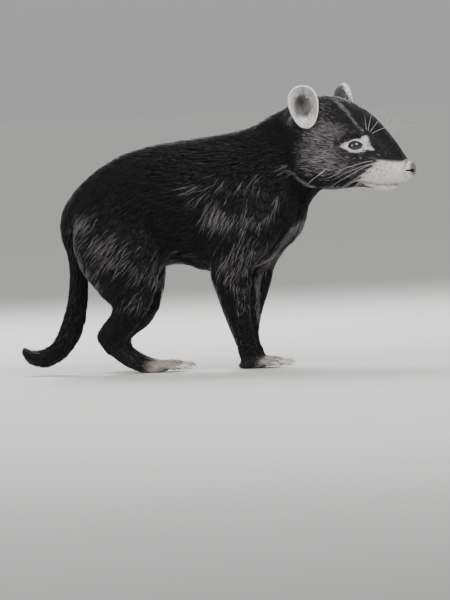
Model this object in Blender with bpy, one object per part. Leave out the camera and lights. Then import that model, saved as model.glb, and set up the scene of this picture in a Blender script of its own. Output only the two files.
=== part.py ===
"""A life-size Tasmanian devil that stands on four feet, its head turned a little to its right.

Faces +X, with +Z up and the animal's left side at +Y. The origin is on the floor, under the
middle of its box. The solids reach out to the tips of the short coat.
"""

import math
from collections import namedtuple

import bmesh
import bpy
import numpy as np
from mathutils import Matrix, Vector
from mathutils.bvhtree import BVHTree

# The tables below are in millimetres, for an animal of this height at the shoulder.
TABLE_SHOULDER_HEIGHT = 328.0
SHOULDER_HEIGHT = 328.0
UNIT = 0.001 * SHOULDER_HEIGHT / TABLE_SHOULDER_HEIGHT
GAP = 0.0003

# Head
SKULL_BASE = (140.0, 0.0, 300.0)
HEAD_TURN = math.radians(-25)
EYE_RADIUS = 8.0
EYE_AT = (98.0, 4.0)
EYE_SHOWING = 3.2
EYE_OPENING = (7.4, 4.6)
EYE_OPENING_REACH = (2.0, 30.0)
EYE_CORNER_PINCH = 0.35
LID_THICKNESS = 2.5
EAR_HEIGHT = 60.0
EAR_WIDTH = 43.0
EAR_DEPTH = 15.0
EAR_WALL = 2.6
EAR_NARROWER_FOOT = 0.16
EAR_SQUARENESS = 0.05
EAR_CENTRE = (30.0, 62.5, 61.0)
EAR_AIM = math.radians(58)
EAR_LEAN = math.radians(14)
NOSE_PAD = (160.0, 0.0, -32.0)
NOSE_HALF_SIZES = (10.5, 13.0, 12.5)
NOSE_CUT = 154.5
NOSTRIL = (168.0, 5.6, -33.5)
NOSTRIL_HALF_SIZES = (5.5, 2.8, 2.6)
NOSTRIL_SLIT = (165.0, 9.0, -33.0)
NOSTRIL_SLIT_HALF_SIZES = (5.5, 4.6, 1.3)
MOUTH_DEPTH = 2.6
MOUTH_HALF_WIDTH = 1.5
MOUTH_FADE = 14.0
MOUTH_REACH = (70.0, 170.0)
LIP_GROOVE_DEPTH = 1.4
LIP_GROOVE_HALF_WIDTH = 1.4
LIP_GROOVE_START = 140.0
LIP_GROOVE_HEIGHT = 12.0

# Feet
TOE_RADIUS = 4.8
TOE_TAPER = (1.1, 1.05, 0.95, 0.85)
KNUCKLE_HEIGHT = 8.0
KNUCKLE_ROOT = 9.0
TOE_RISE = 0.8
TOE_DROP = 3.2
CLAW_LENGTH = 12.0
CLAW_RADIUS = 1.9
CLAW_TAPER = (1.0, 0.95, 0.6, 0.25)
CLAW_LIFT = 1.2
# The claw's middle line from the toe's tip: the share of its length ahead, and its rise.
CLAW_LINE = [(-0.25, 0), (0.4, 0.9), (0.8, -1.6), (1.0, -3.6)]
FORE_FOOT_SIDE = 40.0
HIND_FOOT_SIDE = 47.0

Toe = namedtuple("Toe", "knuckle length turn")

# Knuckle (x, distance from the foot's middle line, outwards), length and outward turn in degrees.
FORE_TOES = [
    Toe((66, -14), 15, -24),
    Toe((70, -7.5), 22, -7),
    Toe((71.5, 0.5), 24, 1),
    Toe((70, 8.5), 22, 9),
    Toe((65, 15), 17, 22),
]
HIND_TOES = [
    Toe((-71, -11.5), 22, -9),
    Toe((-69.5, -3.8), 25, -2),
    Toe((-70, 4.2), 25, 5),
    Toe((-72, 12), 21, 14),
]
# The soles: where each pad's middle is, and its half sizes.
PADS = [
    ((55, FORE_FOOT_SIDE, 5), (21, 15, 8)),
    ((-84, HIND_FOOT_SIDE, 5), (24, 15, 8)),
]

# Mesh sizes: the grain of each skin, how often it is smoothed, and how many triangles are kept.
RING_SIDES = 32
RINGS_PER_STEP = 3
BODY_VOXEL = 3.0
HEAD_VOXEL = 2.0
TAIL_VOXEL = 2.5
DETAIL_VOXEL = 1.6
BODY_SMOOTHING = 14
HEAD_SMOOTHING = 34
TAIL_SMOOTHING = 2
DETAIL_SMOOTHING = 5
WHOLE_TRIANGLES = {"trunk": 5500, "limb": 5000, "foot": 10500, "front": 12000, "rear": 5000}
FACE_FINENESS = 0.00005
FINE_AT_EYE = 15.0
FINE_AHEAD = 140.0
FINE_AT_MOUTH = (80.0, -28.0)
SHARP_EDGE = math.radians(50)

# Cuts between the parts: what each limb's cut takes, as an arch in the side view, and planes
# as a point (x, z), the normal's angle above +X and its turn about Z.
Region = namedtuple("Region", "centre half_sizes side inner_side inner_top inner_back")
ARM_REGION = Region((52, 190), (68, 84), 24, 4, 126, -16)
THIGH_REGION = Region((-127, 185), (66, 72), 23, 4, 116, -163)
TOE_ROOM = 45.0
TOE_ROOM_TOP = 70.0
REGION_BOTTOM = -30.0
REGION_SIDE = 150.0
TAIL_REGION_TOP = 196.0
TAIL_REGION_FRONT = -166.5
TAIL_REGION_BACK = -330.0
TAIL_REGION_SIDE = 60.0
FORE_CUTS = [((28, 128), -95, 0), ((49, 24), -80, 0)]
HIND_CUTS = [((-108, 104), -100, 0), ((-134, 44), -50, 0)]
TAIL_CUTS = [((-190, 118), -97, 0), ((-213, 45), -140, 0)]
NECK_TORSO = ((84, 262), 22, 0)
HEAD_NECK = ((130, 302), 12, -14)

# Rings of an ear's cup, from its floor to near its rim.
EAR_SHARES = (0.1, 0.36, 0.6, 0.8, 0.95)
EAR_SIDES = 24

# Each finish: its linear colour and its roughness.
MATERIALS = {
    "coat": ((0.012, 0.012, 0.013), 0.6),
    "paw": ((0.45, 0.42, 0.40), 0.6),
    "ear": ((0.62, 0.58, 0.56), 0.55),
    "eye": ((0.02, 0.015, 0.012), 0.08),
    "nose": ((0.30, 0.28, 0.27), 0.35),
}

Section = namedtuple("Section", "upper lower half_width side", defaults=(0.0,))

# Outline points are (x, z) in the middle plane, from the rump to the back of the head.
TRUNK = [
    Section((-204, 232), (-186, 200), 24),
    Section((-196, 247), (-163, 162), 40),
    Section((-167, 277), (-150, 122), 51),
    Section((-124, 304), (-118, 130), 58),
    Section((-81, 316.5), (-80, 141), 62),
    Section((-38, 322), (-44, 149), 65),
    Section((-9, 325), (-12, 137), 65),
    Section((25, 329), (28, 134), 62),
    Section((50, 333), (74, 143), 58),
    Section((74, 341), (111, 167), 55),
    Section((90, 351), (133, 190), 53),
    Section((104, 359), (140, 214), 51),
    Section((122, 367), (149, 234), 50),
    Section((138, 371), (162, 246), 46),
]

# Front and back of each limb, from the shoulder or hip down, for one side.
FORELEG = [
    Section((66, 292), (22, 288), 12, 36),
    Section((94, 250), (2, 244), 20, 40),
    Section((108, 205), (-6, 206), 25, 43),
    Section((92, 172), (-6, 172), 26, 44),
    Section((66, 142), (-1, 143), 22, 43),
    Section((57, 112), (6, 114), 18.5, 42),
    Section((56, 83), (13, 87), 15.5, 41),
    Section((60, 52), (23, 58), 13.5, 40),
    Section((63, 30), (32, 33), 12.5, 40),
    Section((70, 14), (38, 12), 13.5, 40),
]
HINDLEG = [
    Section((-98, 262), (-150, 258), 14, 33),
    Section((-72, 226), (-184, 220), 21, 37),
    Section((-65, 192), (-190, 184), 26, 41),
    Section((-65, 160), (-181, 148), 28, 44),
    Section((-69, 130), (-155, 112), 25, 46),
    Section((-81, 97), (-138, 97), 20, 47),
    Section((-102, 66), (-139, 86), 16.5, 47),
    Section((-119, 46), (-154, 70), 14, 47),
    Section((-120, 38), (-164, 54), 12.5, 47),
    Section((-117, 32), (-156, 38), 12, 47),
    Section((-106, 24), (-136, 20), 12.5, 47),
    Section((-95, 18), (-116, 6), 14, 47),
    Section((-84, 15), (-98, -1), 15.5, 47),
    Section((-72, 12), (-76, -1), 15.5, 47),
]
TAIL = [
    Section((-176, 226), (-206, 229), 16),
    Section((-173, 208), (-211, 211), 18.5),
    Section((-171, 184), (-207, 187), 18.5),
    Section((-171, 153), (-200, 156), 17.5),
    Section((-173, 121), (-201, 125), 17),
    Section((-175, 92), (-205, 100), 16.5),
    Section((-180, 68), (-213, 76), 16),
    Section((-190, 45), (-220, 58), 15.5),
    Section((-205, 26), (-228, 46), 14.5),
    Section((-222, 14), (-237, 39.5), 13.5),
    Section((-241, 9), (-244, 36.5), 12),
    Section((-258, 12.5), (-252, 36.5), 10),
    Section((-270, 24), (-260, 39), 7.5),
    Section((-275.5, 38), (-266, 43), 4.5),
]
# How far the left limbs reach ahead of the right ones, as (height, distance).
LEFT_FORELEG_AHEAD = [(45, 0), (65, 6), (90, 17), (118, 25), (160, 22), (220, 8), (290, 0)]
LEFT_HINDLEG_AHEAD = [(48, 0), (68, 12), (85, 9), (105, 4), (260, 0)]

# Head tables are in the head's own frame: forward, up and the half width, from the skull's base.
SKULL = [
    Section((-18, 60), (-8, -42), 46),
    Section((8, 74), (8, -52), 56),
    Section((36, 76.5), (36, -57), 60),
    Section((62, 70.5), (62, -54), 54),
    Section((84, 59.5), (84, -50), 45),
    Section((102, 48), (102, -50), 36.5),
    Section((120, 30), (120, -51), 31),
    Section((137, 9.5), (136, -52), 27.5),
    Section((149, -9), (149, -51), 23.5),
    Section((157, -19), (155, -47), 18),
]
JAW = [
    Section((46, -22), (46, -57), 38),
    Section((78, -30), (78, -54), 31),
    Section((98, -38), (99, -55), 24),
    Section((115, -42), (115, -60.5), 20),
    Section((128, -44), (127, -61), 16.5),
    Section((138, -46), (137, -59), 12),
]
# Masses on both sides of the head: centre and half sizes.
HEAD_MASSES = {
    "jowl": ((38, 43, -18), (42, 24, 36)),
    "temple": ((32, 33, 24), (44, 21, 32)),
    "cheekbone": ((72, 34, -12), (34, 15, 20)),
    "cheek": ((76, 26, -30), (40, 17, 22)),
    "ear_root": ((21, 44, 47), (18, 14, 21)),
    "lip": ((120, 17, -38), (32, 12, 13.5)),
}
# The line of the mouth, from its corner to the front: (forward, up).
MOUTH_LINE = [(84, -36), (92, -42), (104, -47.5), (120, -51), (138, -51.5), (152, -50)]


def table_point(x, y, z):
    """A point of the tables, in metres."""
    return Vector((x * UNIT, y * UNIT, z * UNIT))


def mesh_object(name, mesh):
    shape = bpy.data.objects.new(name, mesh)
    bpy.context.scene.collection.objects.link(shape)
    return shape


def object_from_bmesh(name, shape_mesh):
    bmesh.ops.recalc_face_normals(shape_mesh, faces=shape_mesh.faces)
    mesh = bpy.data.meshes.new(name)
    shape_mesh.to_mesh(mesh)
    shape_mesh.free()
    return mesh_object(name, mesh)


def remove(*shapes):
    for shape in shapes:
        bpy.data.objects.remove(shape, do_unlink=True)


def apply_modifiers(shape):
    graph = bpy.context.evaluated_depsgraph_get()
    mesh = bpy.data.meshes.new_from_object(shape.evaluated_get(graph))
    shape.modifiers.clear()
    shape.data = mesh
    return shape


def copy_of(shape, name):
    return mesh_object(name, shape.data.copy())


def through_rows(rows, steps):
    """A smooth curve through the rows: each gap is divided into steps, as a Catmull-Rom spline."""
    rows = np.asarray(rows, float)
    padded = np.vstack([2 * rows[0] - rows[1], rows, 2 * rows[-1] - rows[-2]])
    made = []
    for i in range(len(rows) - 1):
        p0, p1, p2, p3 = padded[i : i + 4]
        for t in np.arange(steps) / steps:
            tangent_part = (p2 - p0) * t + (2 * p0 - 5 * p1 + 4 * p2 - p3) * t**2
            made.append(p1 + 0.5 * (tangent_part + (3 * p1 - p0 - 3 * p2 + p3) * t**3))
    return np.vstack([made, rows[-1]])


def skin_rings(name, rings):
    """A closed surface over rings of equal count, with a flat face at each end."""
    shape_mesh = bmesh.new()
    loops = [[shape_mesh.verts.new(point) for point in ring] for ring in rings]
    sides = len(rings[0])
    for first, second in zip(loops, loops[1:]):
        for i in range(sides):
            j = (i + 1) % sides
            shape_mesh.faces.new((first[i], first[j], second[j], second[i]))
    for loop in (loops[0], loops[-1]):
        shape_mesh.faces.new(loop)
    bmesh.ops.triangulate(shape_mesh, faces=shape_mesh.faces, quad_method="FIXED")
    return object_from_bmesh(name, shape_mesh)


def rounded_ends(rings, dome_angles=(30, 55, 78)):
    """Adds rings that close each end as a dome."""
    rings = [np.asarray(ring, float) for ring in rings]
    for end, inner in ((0, 1), (-1, -2)):
        ring = rings[end]
        centre = ring.mean(0)
        outward = centre - rings[inner].mean(0)
        outward /= np.linalg.norm(outward)
        reach = 0.7 * np.linalg.norm(ring - centre, axis=1).min()
        dome = [
            centre + (ring - centre) * math.cos(angle) + outward * reach * math.sin(angle)
            for angle in np.radians(dome_angles)
        ]
        rings = dome[::-1] + rings if end == 0 else rings + dome
    return rings


def loft(name, sections, mirror=1, place=None):
    """A closed form whose outline in the middle plane runs through each section's two points."""
    rows = [(*s.upper, *s.lower, s.half_width, s.side) for s in sections]
    turns = np.linspace(0, 2 * math.pi, RING_SIDES, endpoint=False)
    rings = []
    for ux, uz, lx, lz, half_width, side in through_rows(rows, RINGS_PER_STEP):
        centre = np.array([(ux + lx) / 2, mirror * side, (uz + lz) / 2])
        upward = np.array([(ux - lx) / 2, 0, (uz - lz) / 2])
        across = np.array([0, half_width, 0])
        rings.append(
            [centre + upward * math.cos(t) + across * math.sin(t) for t in turns]
        )
    rings = [ring * UNIT for ring in rounded_ends(rings)]
    form = skin_rings(name, rings)
    if place is not None:
        form.data.transform(place)
    return form


def tube(name, path, radii, sides=12, steps=RINGS_PER_STEP, dome_angles=(30, 55, 78)):
    """A round form along a path."""
    rows = through_rows([(*p, r) for p, r in zip(path, radii)], steps)
    points, sizes = rows[:, :3], rows[:, 3]
    ahead = np.gradient(points, axis=0)
    ahead /= np.linalg.norm(ahead, axis=1)[:, None]
    turns = np.linspace(0, 2 * math.pi, sides, endpoint=False)
    rings = []
    for point, size, forward in zip(points, sizes, ahead):
        across = np.cross((0, 0, 1), forward)
        across /= max(np.linalg.norm(across), 1e-6)
        upward = np.cross(forward, across)
        rings.append(
            [point + size * (math.cos(t) * across + math.sin(t) * upward) for t in turns]
        )
    return skin_rings(name, [ring * UNIT for ring in rounded_ends(rings, dome_angles)])


def ellipsoid(name, centre, half_sizes, segments=24, place=None):
    shape_mesh = bmesh.new()
    bmesh.ops.create_uvsphere(
        shape_mesh, u_segments=segments, v_segments=segments // 2, radius=1
    )
    shape = object_from_bmesh(name, shape_mesh)
    sizes = Matrix.Diagonal((*[size * UNIT for size in half_sizes], 1))
    shape.data.transform(Matrix.Translation(table_point(*centre)) @ sizes)
    if place is not None:
        shape.data.transform(place)
    return shape


def head_place():
    """From the head's own frame to the animal's."""
    return Matrix.Translation(table_point(*SKULL_BASE)) @ Matrix.Rotation(HEAD_TURN, 4, "Z")


def fuse(name, forms, voxel, smoothing):
    """One skin over all the forms, with its creases rounded."""
    joined = bmesh.new()
    for form in forms:
        joined.from_mesh(form.data)
    shape = object_from_bmesh(name, joined)
    remove(*forms)
    skin = shape.modifiers.new("skin", "REMESH")
    skin.mode = "VOXEL"
    skin.voxel_size = voxel * UNIT
    soften = shape.modifiers.new("soften", "SMOOTH")
    soften.factor = 0.5
    soften.iterations = smoothing
    return apply_modifiers(shape)


def moved_ahead(sections, ahead):
    """The same limb, with each point moved forward by what its height calls for."""
    heights, distances = zip(*ahead)

    def moved(point):
        return point[0] + np.interp(point[1], heights, distances), point[1]

    return [s._replace(upper=moved(s.upper), lower=moved(s.lower)) for s in sections]


def trunk_forms():
    """The body, its four legs and the tail's root, as overlapping lofts."""
    return [
        loft("trunk", TRUNK),
        loft("foreleg", moved_ahead(FORELEG, LEFT_FORELEG_AHEAD)),
        loft("foreleg", FORELEG, -1),
        loft("hindleg", moved_ahead(HINDLEG, LEFT_HINDLEG_AHEAD)),
        loft("hindleg", HINDLEG, -1),
        loft("tail_root", TAIL[:4]),
    ]


def head_forms(place):
    """The skull and jaw, with the masses that round them out."""
    forms = [loft("skull", SKULL, place=place), loft("jaw", JAW, place=place)]
    for (x, y, z), half_sizes in HEAD_MASSES.values():
        for mirror in (1, -1):
            forms.append(ellipsoid("mass", (x, mirror * y, z), half_sizes, place=place))
    return forms


def surface_of(shape):
    shape_mesh = bmesh.new()
    shape_mesh.from_mesh(shape.data)
    surface = BVHTree.FromBMesh(shape_mesh)
    shape_mesh.free()
    return surface


def eye_places(head):
    """For each side, the eye's own frame: centre behind the skin, Z looking straight out."""
    surface = surface_of(head)
    places = {}
    for mirror in (1, -1):
        start = head_place() @ table_point(EYE_AT[0], mirror * 120, EYE_AT[1])
        inward = head_place().to_3x3() @ Vector((0, -mirror, 0))
        point, normal, _, _ = surface.ray_cast(start, inward)
        centre = point - normal * (EYE_RADIUS - EYE_SHOWING) * UNIT
        places[mirror] = Matrix.Translation(centre) @ look_at_frame(normal)
    return places


def carve_mouth(shape):
    """Presses the line of the mouth and the groove under the nose into the head's skin."""
    mesh = shape.data
    points = np.empty(3 * len(mesh.vertices))
    mesh.vertices.foreach_get("co", points)
    points = points.reshape(-1, 3)
    normals = np.array([n.vector for n in mesh.vertex_normals])
    to_head = np.array(head_place().inverted())
    forward, side, up = ((points @ to_head[:3, :3].T + to_head[:3, 3]) / UNIT).T
    xs, zs = zip(*MOUTH_LINE)
    off = (up - np.interp(forward, xs, zs)) / MOUTH_HALF_WIDTH
    fade = np.clip((forward - xs[0]) / MOUTH_FADE, 0, 1)
    depth = MOUTH_DEPTH * fade * np.exp(-(off**2))
    under_nose = (forward > LIP_GROOVE_START) & (up > zs[-1]) & (up < zs[-1] + LIP_GROOVE_HEIGHT)
    depth += LIP_GROOVE_DEPTH * under_nose * np.exp(-((side / LIP_GROOVE_HALF_WIDTH) ** 2))
    depth[(forward < MOUTH_REACH[0]) | (forward > MOUTH_REACH[1])] = 0
    points -= normals * (depth * UNIT)[:, None]
    mesh.vertices.foreach_set("co", points.ravel())
    mesh.update()


def toe_path(toe, side, mirror):
    """The toe's middle line from inside the foot to its tip, then the claw's from there."""
    turn = math.radians(toe.turn)
    ahead = np.array([math.cos(turn), mirror * math.sin(turn), 0])
    knuckle = np.array([toe.knuckle[0], mirror * (side + toe.knuckle[1]), KNUCKLE_HEIGHT])
    bone = [knuckle - KNUCKLE_ROOT * ahead, knuckle]
    bone.append(knuckle + ahead * toe.length * 0.45 + (0, 0, TOE_RISE))
    bone.append(knuckle + ahead * toe.length + (0, 0, -TOE_DROP))
    root = bone[-1] + (0, 0, CLAW_LIFT)
    claw = [root + ahead * CLAW_LENGTH * share + (0, 0, rise) for share, rise in CLAW_LINE]
    return bone, claw


def foot_forms(toes, side, mirror):
    """The toes of one foot."""
    forms = []
    for toe in toes:
        bone, _ = toe_path(toe, side, mirror)
        radii = np.array(TOE_TAPER) * TOE_RADIUS
        forms.append(tube("toe", bone, radii))
    return forms


def claw_forms(toes, side, mirror):
    """The claws of one foot."""
    forms = []
    for toe in toes:
        _, claw = toe_path(toe, side, mirror)
        radii = np.array(CLAW_TAPER) * CLAW_RADIUS
        forms.append(tube("claw", claw, radii, sides=6, steps=1, dome_angles=(50,)))
    return forms


def pads():
    """The soles: flat mounds under each foot, which the floor plane cuts level."""
    forms = []
    for mirror in (1, -1):
        for (x, side, z), half_sizes in PADS:
            forms.append(ellipsoid("pad", (x, mirror * side, z), half_sizes))
    return forms


def whole_body():
    """The body as one skin, and the places of the eyes."""
    place = head_place()
    body = fuse("body", trunk_forms(), BODY_VOXEL, BODY_SMOOTHING)
    head = fuse("head", head_forms(place), HEAD_VOXEL, HEAD_SMOOTHING)
    eyes = eye_places(head)
    tail = fuse("tail", [loft("tail", TAIL)], TAIL_VOXEL, TAIL_SMOOTHING)
    nose = ellipsoid("nose_pad", NOSE_PAD, NOSE_HALF_SIZES, place=place)
    forms = [body, head, tail, nose, *pads()]
    for mirror in (1, -1):
        forms += foot_forms(FORE_TOES, FORE_FOOT_SIDE, mirror)
        forms += foot_forms(HIND_TOES, HIND_FOOT_SIDE, mirror)
        forms.append(ball("lid", EYE_RADIUS + LID_THICKNESS, eyes[mirror], 24))
    whole = fuse("whole", forms, DETAIL_VOXEL, DETAIL_SMOOTHING)
    carve_mouth(whole)
    return whole, eyes


def face_weight(point):
    """How freely the mesh is thinned here: least at the mouth, nose and eyes."""
    forward, _, up = head_place().inverted() @ point / UNIT
    near_eye = math.dist((forward, up), EYE_AT) < FINE_AT_EYE
    near_mouth = forward > FINE_AT_MOUTH[0] and up < FINE_AT_MOUTH[1]
    return 0.5 if near_eye or near_mouth or forward > FINE_AHEAD else 1.0


def thinned(shape, name, triangles, weigh=None):
    """A copy with about this many triangles, finer where weigh gives less."""
    made = copy_of(shape, name)
    made.data.calc_loop_triangles()
    fewer = made.modifiers.new("fewer", "DECIMATE")
    fewer.ratio = min(1.0, triangles / len(made.data.loop_triangles))
    if weigh is not None:
        group = made.vertex_groups.new(name="thinning")
        for vert in made.data.vertices:
            group.add([vert.index], weigh(vert.co), "REPLACE")
        fewer.vertex_group = group.name
        fewer.vertex_group_factor = FACE_FINENESS
    return apply_modifiers(made)


def keep_largest(shape):
    """Drops any loose scrap, so that the node is one closed body."""
    shape_mesh = bmesh.new()
    shape_mesh.from_mesh(shape.data)
    left = set(shape_mesh.verts)
    best = []
    while left:
        found, todo = [], [left.pop()]
        while todo:
            vert = todo.pop()
            found.append(vert)
            for edge in vert.link_edges:
                other = edge.other_vert(vert)
                if other in left:
                    left.discard(other)
                    todo.append(other)
        if len(found) > len(best):
            best = found
    keep = set(best)
    bmesh.ops.delete(
        shape_mesh, geom=[v for v in shape_mesh.verts if v not in keep], context="VERTS"
    )
    shape_mesh.to_mesh(shape.data)
    shape_mesh.free()
    return shape


def cut(shape, point, normal):
    """Keeps what lies behind the plane, and closes the cut with a flat face."""
    shape_mesh = bmesh.new()
    shape_mesh.from_mesh(shape.data)
    everything = shape_mesh.verts[:] + shape_mesh.edges[:] + shape_mesh.faces[:]
    bmesh.ops.bisect_plane(
        shape_mesh,
        geom=everything,
        plane_co=Vector(point),
        plane_no=Vector(normal),
        clear_outer=True,
    )
    rim = [edge for edge in shape_mesh.edges if edge.is_boundary]
    bmesh.ops.edgenet_fill(shape_mesh, edges=rim)
    bmesh.ops.recalc_face_normals(shape_mesh, faces=shape_mesh.faces)
    shape_mesh.to_mesh(shape.data)
    shape_mesh.free()
    return shape


def boolean(shape, others, operation):
    """One Boolean of the shape with a collection of closed meshes, applied."""
    group = bpy.data.collections.new("others")
    for other in others:
        group.objects.link(other)
    modifier = shape.modifiers.new(operation.lower(), "BOOLEAN")
    modifier.operation = operation
    modifier.operand_type = "COLLECTION"
    modifier.collection = group
    modifier.solver = "EXACT"
    apply_modifiers(shape)
    remove(*others)
    bpy.data.collections.remove(group)
    return shape


def limb_region(region, mirror, grow=0.0):
    """What a limb's cut takes: an arch in the side view, down past the floor.

    Its inner face is at side, and slopes on to a smaller arch at inner_side.
    """
    grow /= UNIT
    half_length, half_height = (size + grow for size in region.half_sizes)
    x, z = region.centre
    outline = []
    for angle in np.radians(np.arange(0, 181, 15)):
        outline.append((x + half_length * math.cos(angle), z + half_height * math.sin(angle)))
    back, front, bottom = x - half_length, x + half_length + TOE_ROOM, REGION_BOTTOM
    outline += [(back, bottom), (front, bottom), (front, TOE_ROOM_TOP)]
    inner_back, inner_top = region.inner_back - grow, region.inner_top + grow
    narrower = (front - inner_back) / (front - back)
    lower = (inner_top - bottom) / (z + half_height - bottom)
    inner = [(front + (x - front) * narrower, bottom + (z - bottom) * lower) for x, z in outline]
    rings = [
        [table_point(x, mirror * (region.inner_side - grow), z) for x, z in inner],
        [table_point(x, mirror * (region.side - grow), z) for x, z in outline],
        [table_point(x, mirror * REGION_SIDE, z) for x, z in outline],
    ]
    return skin_rings("region", rings)


def tail_region(grow=0.0):
    """What the tail's cut takes: a block behind and below the root."""
    top = TAIL_REGION_TOP + grow / UNIT
    front = TAIL_REGION_FRONT + grow / UNIT
    back, bottom = TAIL_REGION_BACK, REGION_BOTTOM
    outline = [(front, bottom), (front, top), (back, top), (back, bottom)]
    sides = (-TAIL_REGION_SIDE, TAIL_REGION_SIDE)
    rings = [[table_point(x, y, z) for x, z in outline] for y in sides]
    return skin_rings("region", rings)


def plane(through, angle, turn):
    """A cut through (x, z), with its normal angle degrees above +X and turned about Z."""
    normal = Vector((math.cos(math.radians(angle)), 0, math.sin(math.radians(angle))))
    normal.rotate(Matrix.Rotation(math.radians(turn), 3, "Z"))
    return table_point(through[0], 0, through[1]), normal


def part_at(shape, cuts):
    """Divides a shape along its length by planes, and returns the pieces in order."""
    pieces, rest = [], shape
    for point, normal in (plane(*place) for place in cuts):
        piece = copy_of(rest, "piece")
        pieces.append(keep_largest(cut(piece, point - normal * GAP / 2, normal)))
        rest = keep_largest(cut(rest, point + normal * GAP / 2, -normal))
    return [*pieces, rest]


def limb_pieces(bodies, region, cuts, mirror):
    """The limb's pieces from the body down, each cut from the body of its own fineness."""
    pieces = []
    for index, body in enumerate((bodies["limb"], bodies["limb"], bodies["foot"])):
        limb = copy_of(body, "limb")
        keep_largest(boolean(limb, [limb_region(region, mirror)], "INTERSECT"))
        pieces_here = part_at(limb, cuts)
        for other, piece in enumerate(pieces_here):
            if other == index:
                pieces.append(piece)
            else:
                remove(piece)
    return pieces


def level_sole(shape):
    """Cuts the foot flat at the floor."""
    return keep_largest(cut(shape, (0, 0, 0), (0, 0, -1)))


def make_limbs(bodies):
    """The four limbs, each in three pieces, with claws on the lowest."""
    nodes = []
    limbs = (
        (ARM_REGION, FORE_CUTS, ("upper_arm", "forearm", "forepaw"), FORE_TOES, FORE_FOOT_SIDE),
        (THIGH_REGION, HIND_CUTS, ("thigh", "shank", "hindpaw"), HIND_TOES, HIND_FOOT_SIDE),
    )
    for side, mirror in (("left", 1), ("right", -1)):
        for region, cuts, names, toes, foot_side in limbs:
            pieces = limb_pieces(bodies, region, cuts, mirror)
            boolean(pieces[2], claw_forms(toes, foot_side, mirror), "UNION")
            level_sole(pieces[2])
            for name, piece in zip(names, pieces):
                piece.name = f"{name}_{side}"
                nodes.append(piece)
    return nodes


def limb_regions(grow):
    return [
        limb_region(region, mirror, grow)
        for region in (ARM_REGION, THIGH_REGION)
        for mirror in (1, -1)
    ]


def make_trunk(trunk):
    """Torso and neck, without limbs, tail and head."""
    boolean(trunk, [*limb_regions(GAP), tail_region(GAP)], "DIFFERENCE")
    torso, neck = part_at(keep_largest(trunk), [NECK_TORSO])
    point, normal = plane(*HEAD_NECK)
    cut(neck, point - normal * GAP / 2, normal)
    torso.name, neck.name = "torso", "neck"
    return [torso, neck]


def make_tail(tail):
    """The tail in three pieces, from its root to its tip."""
    boolean(tail, limb_regions(GAP), "DIFFERENCE")
    keep_largest(boolean(tail, [tail_region()], "INTERSECT"))
    pieces = part_at(tail, TAIL_CUTS)
    for name, piece in zip(("tail_root", "tail_middle", "tail_tip"), pieces):
        piece.name = name
    return pieces


def make_head(head):
    """The head, from the neck's cut to the nose."""
    boolean(head, limb_regions(GAP), "DIFFERENCE")
    point, normal = plane(*HEAD_NECK)
    cut(head, point + normal * GAP / 2, -normal)
    keep_largest(head)
    head.name = "head"
    return head


def make_nose(head):
    """The nose is the front of the head, with both nostrils cut in."""
    ahead = head_place().to_3x3() @ Vector((1, 0, 0))
    point = head_place() @ table_point(NOSE_CUT, 0, 0)
    nose = copy_of(head, "nose")
    keep_largest(cut(nose, point + ahead * GAP / 2, -ahead))
    keep_largest(cut(head, point - ahead * GAP / 2, ahead))
    cutters = []
    for mirror in (1, -1):
        for centre, half_sizes in (
            (NOSTRIL, NOSTRIL_HALF_SIZES),
            (NOSTRIL_SLIT, NOSTRIL_SLIT_HALF_SIZES),
        ):
            at = (centre[0], mirror * centre[1], centre[2])
            cutters.append(ellipsoid("nostril", at, half_sizes, 10, head_place()))
    return keep_largest(boolean(nose, cutters, "DIFFERENCE"))


def look_at_frame(aim, up=(0, 0, 1)):
    """A rotation whose Z axis is the aim and whose Y axis is as near up as it can be."""
    forward = Vector(aim).normalized()
    across = Vector(up).cross(forward).normalized()
    over = forward.cross(across)
    return Matrix((across, over, forward)).transposed().to_4x4()


def ball(name, radius, place, segments=20):
    return ellipsoid(name, (0, 0, 0), (radius,) * 3, segments, place)


def eye_opening(place):
    """An almond-shaped prism in front of the eye."""
    half_wide, half_high = EYE_OPENING
    outline = []
    for t in np.linspace(0, 2 * math.pi, 20, endpoint=False):
        x, y = math.cos(t), math.sin(t)
        outline.append((half_wide * x, half_high * y * (1 - EYE_CORNER_PINCH * x * x)))
    rings = [[table_point(x, y, z) for x, y in outline] for z in EYE_OPENING_REACH]
    prism = skin_rings("opening", rings)
    prism.data.transform(place)
    return prism


def make_eyes(head, places):
    """Eyeballs in sockets that are cut into the head behind the openings of the lids."""
    cutters = [ball("socket", EYE_RADIUS + GAP / UNIT, place, 24) for place in places.values()]
    cutters += [eye_opening(place) for place in places.values()]
    keep_largest(boolean(head, cutters, "DIFFERENCE"))
    return [
        ball(f"eye_{side}", EYE_RADIUS, places[mirror], 14)
        for side, mirror in (("left", 1), ("right", -1))
    ]


def ear_place(mirror):
    centre = (EAR_CENTRE[0], mirror * EAR_CENTRE[1], EAR_CENTRE[2])
    aim = (math.cos(EAR_AIM), mirror * math.sin(EAR_AIM), 0.05)
    lean = (0, mirror * math.sin(EAR_LEAN), math.cos(EAR_LEAN))
    return head_place() @ Matrix.Translation(table_point(*centre)) @ look_at_frame(aim, lean)


def ear_ring(share, inset):
    """A ring of the cup: share is 0 at its floor and 1 at the rim, inset is into the wall."""
    angle = share * math.pi / 2
    radius = math.sin(angle)
    depth = -(EAR_DEPTH - inset) * math.cos(angle)
    points = []
    for t in np.linspace(0, 2 * math.pi, EAR_SIDES, endpoint=False):
        narrow = 1 + EAR_NARROWER_FOOT * math.sin(t) - EAR_SQUARENESS * math.cos(2 * t)
        x = (EAR_WIDTH / 2 - inset) * radius * math.cos(t) * narrow
        y = (EAR_HEIGHT / 2 - inset) * radius * math.sin(t)
        points.append(table_point(x, y, depth))
    return points


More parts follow.
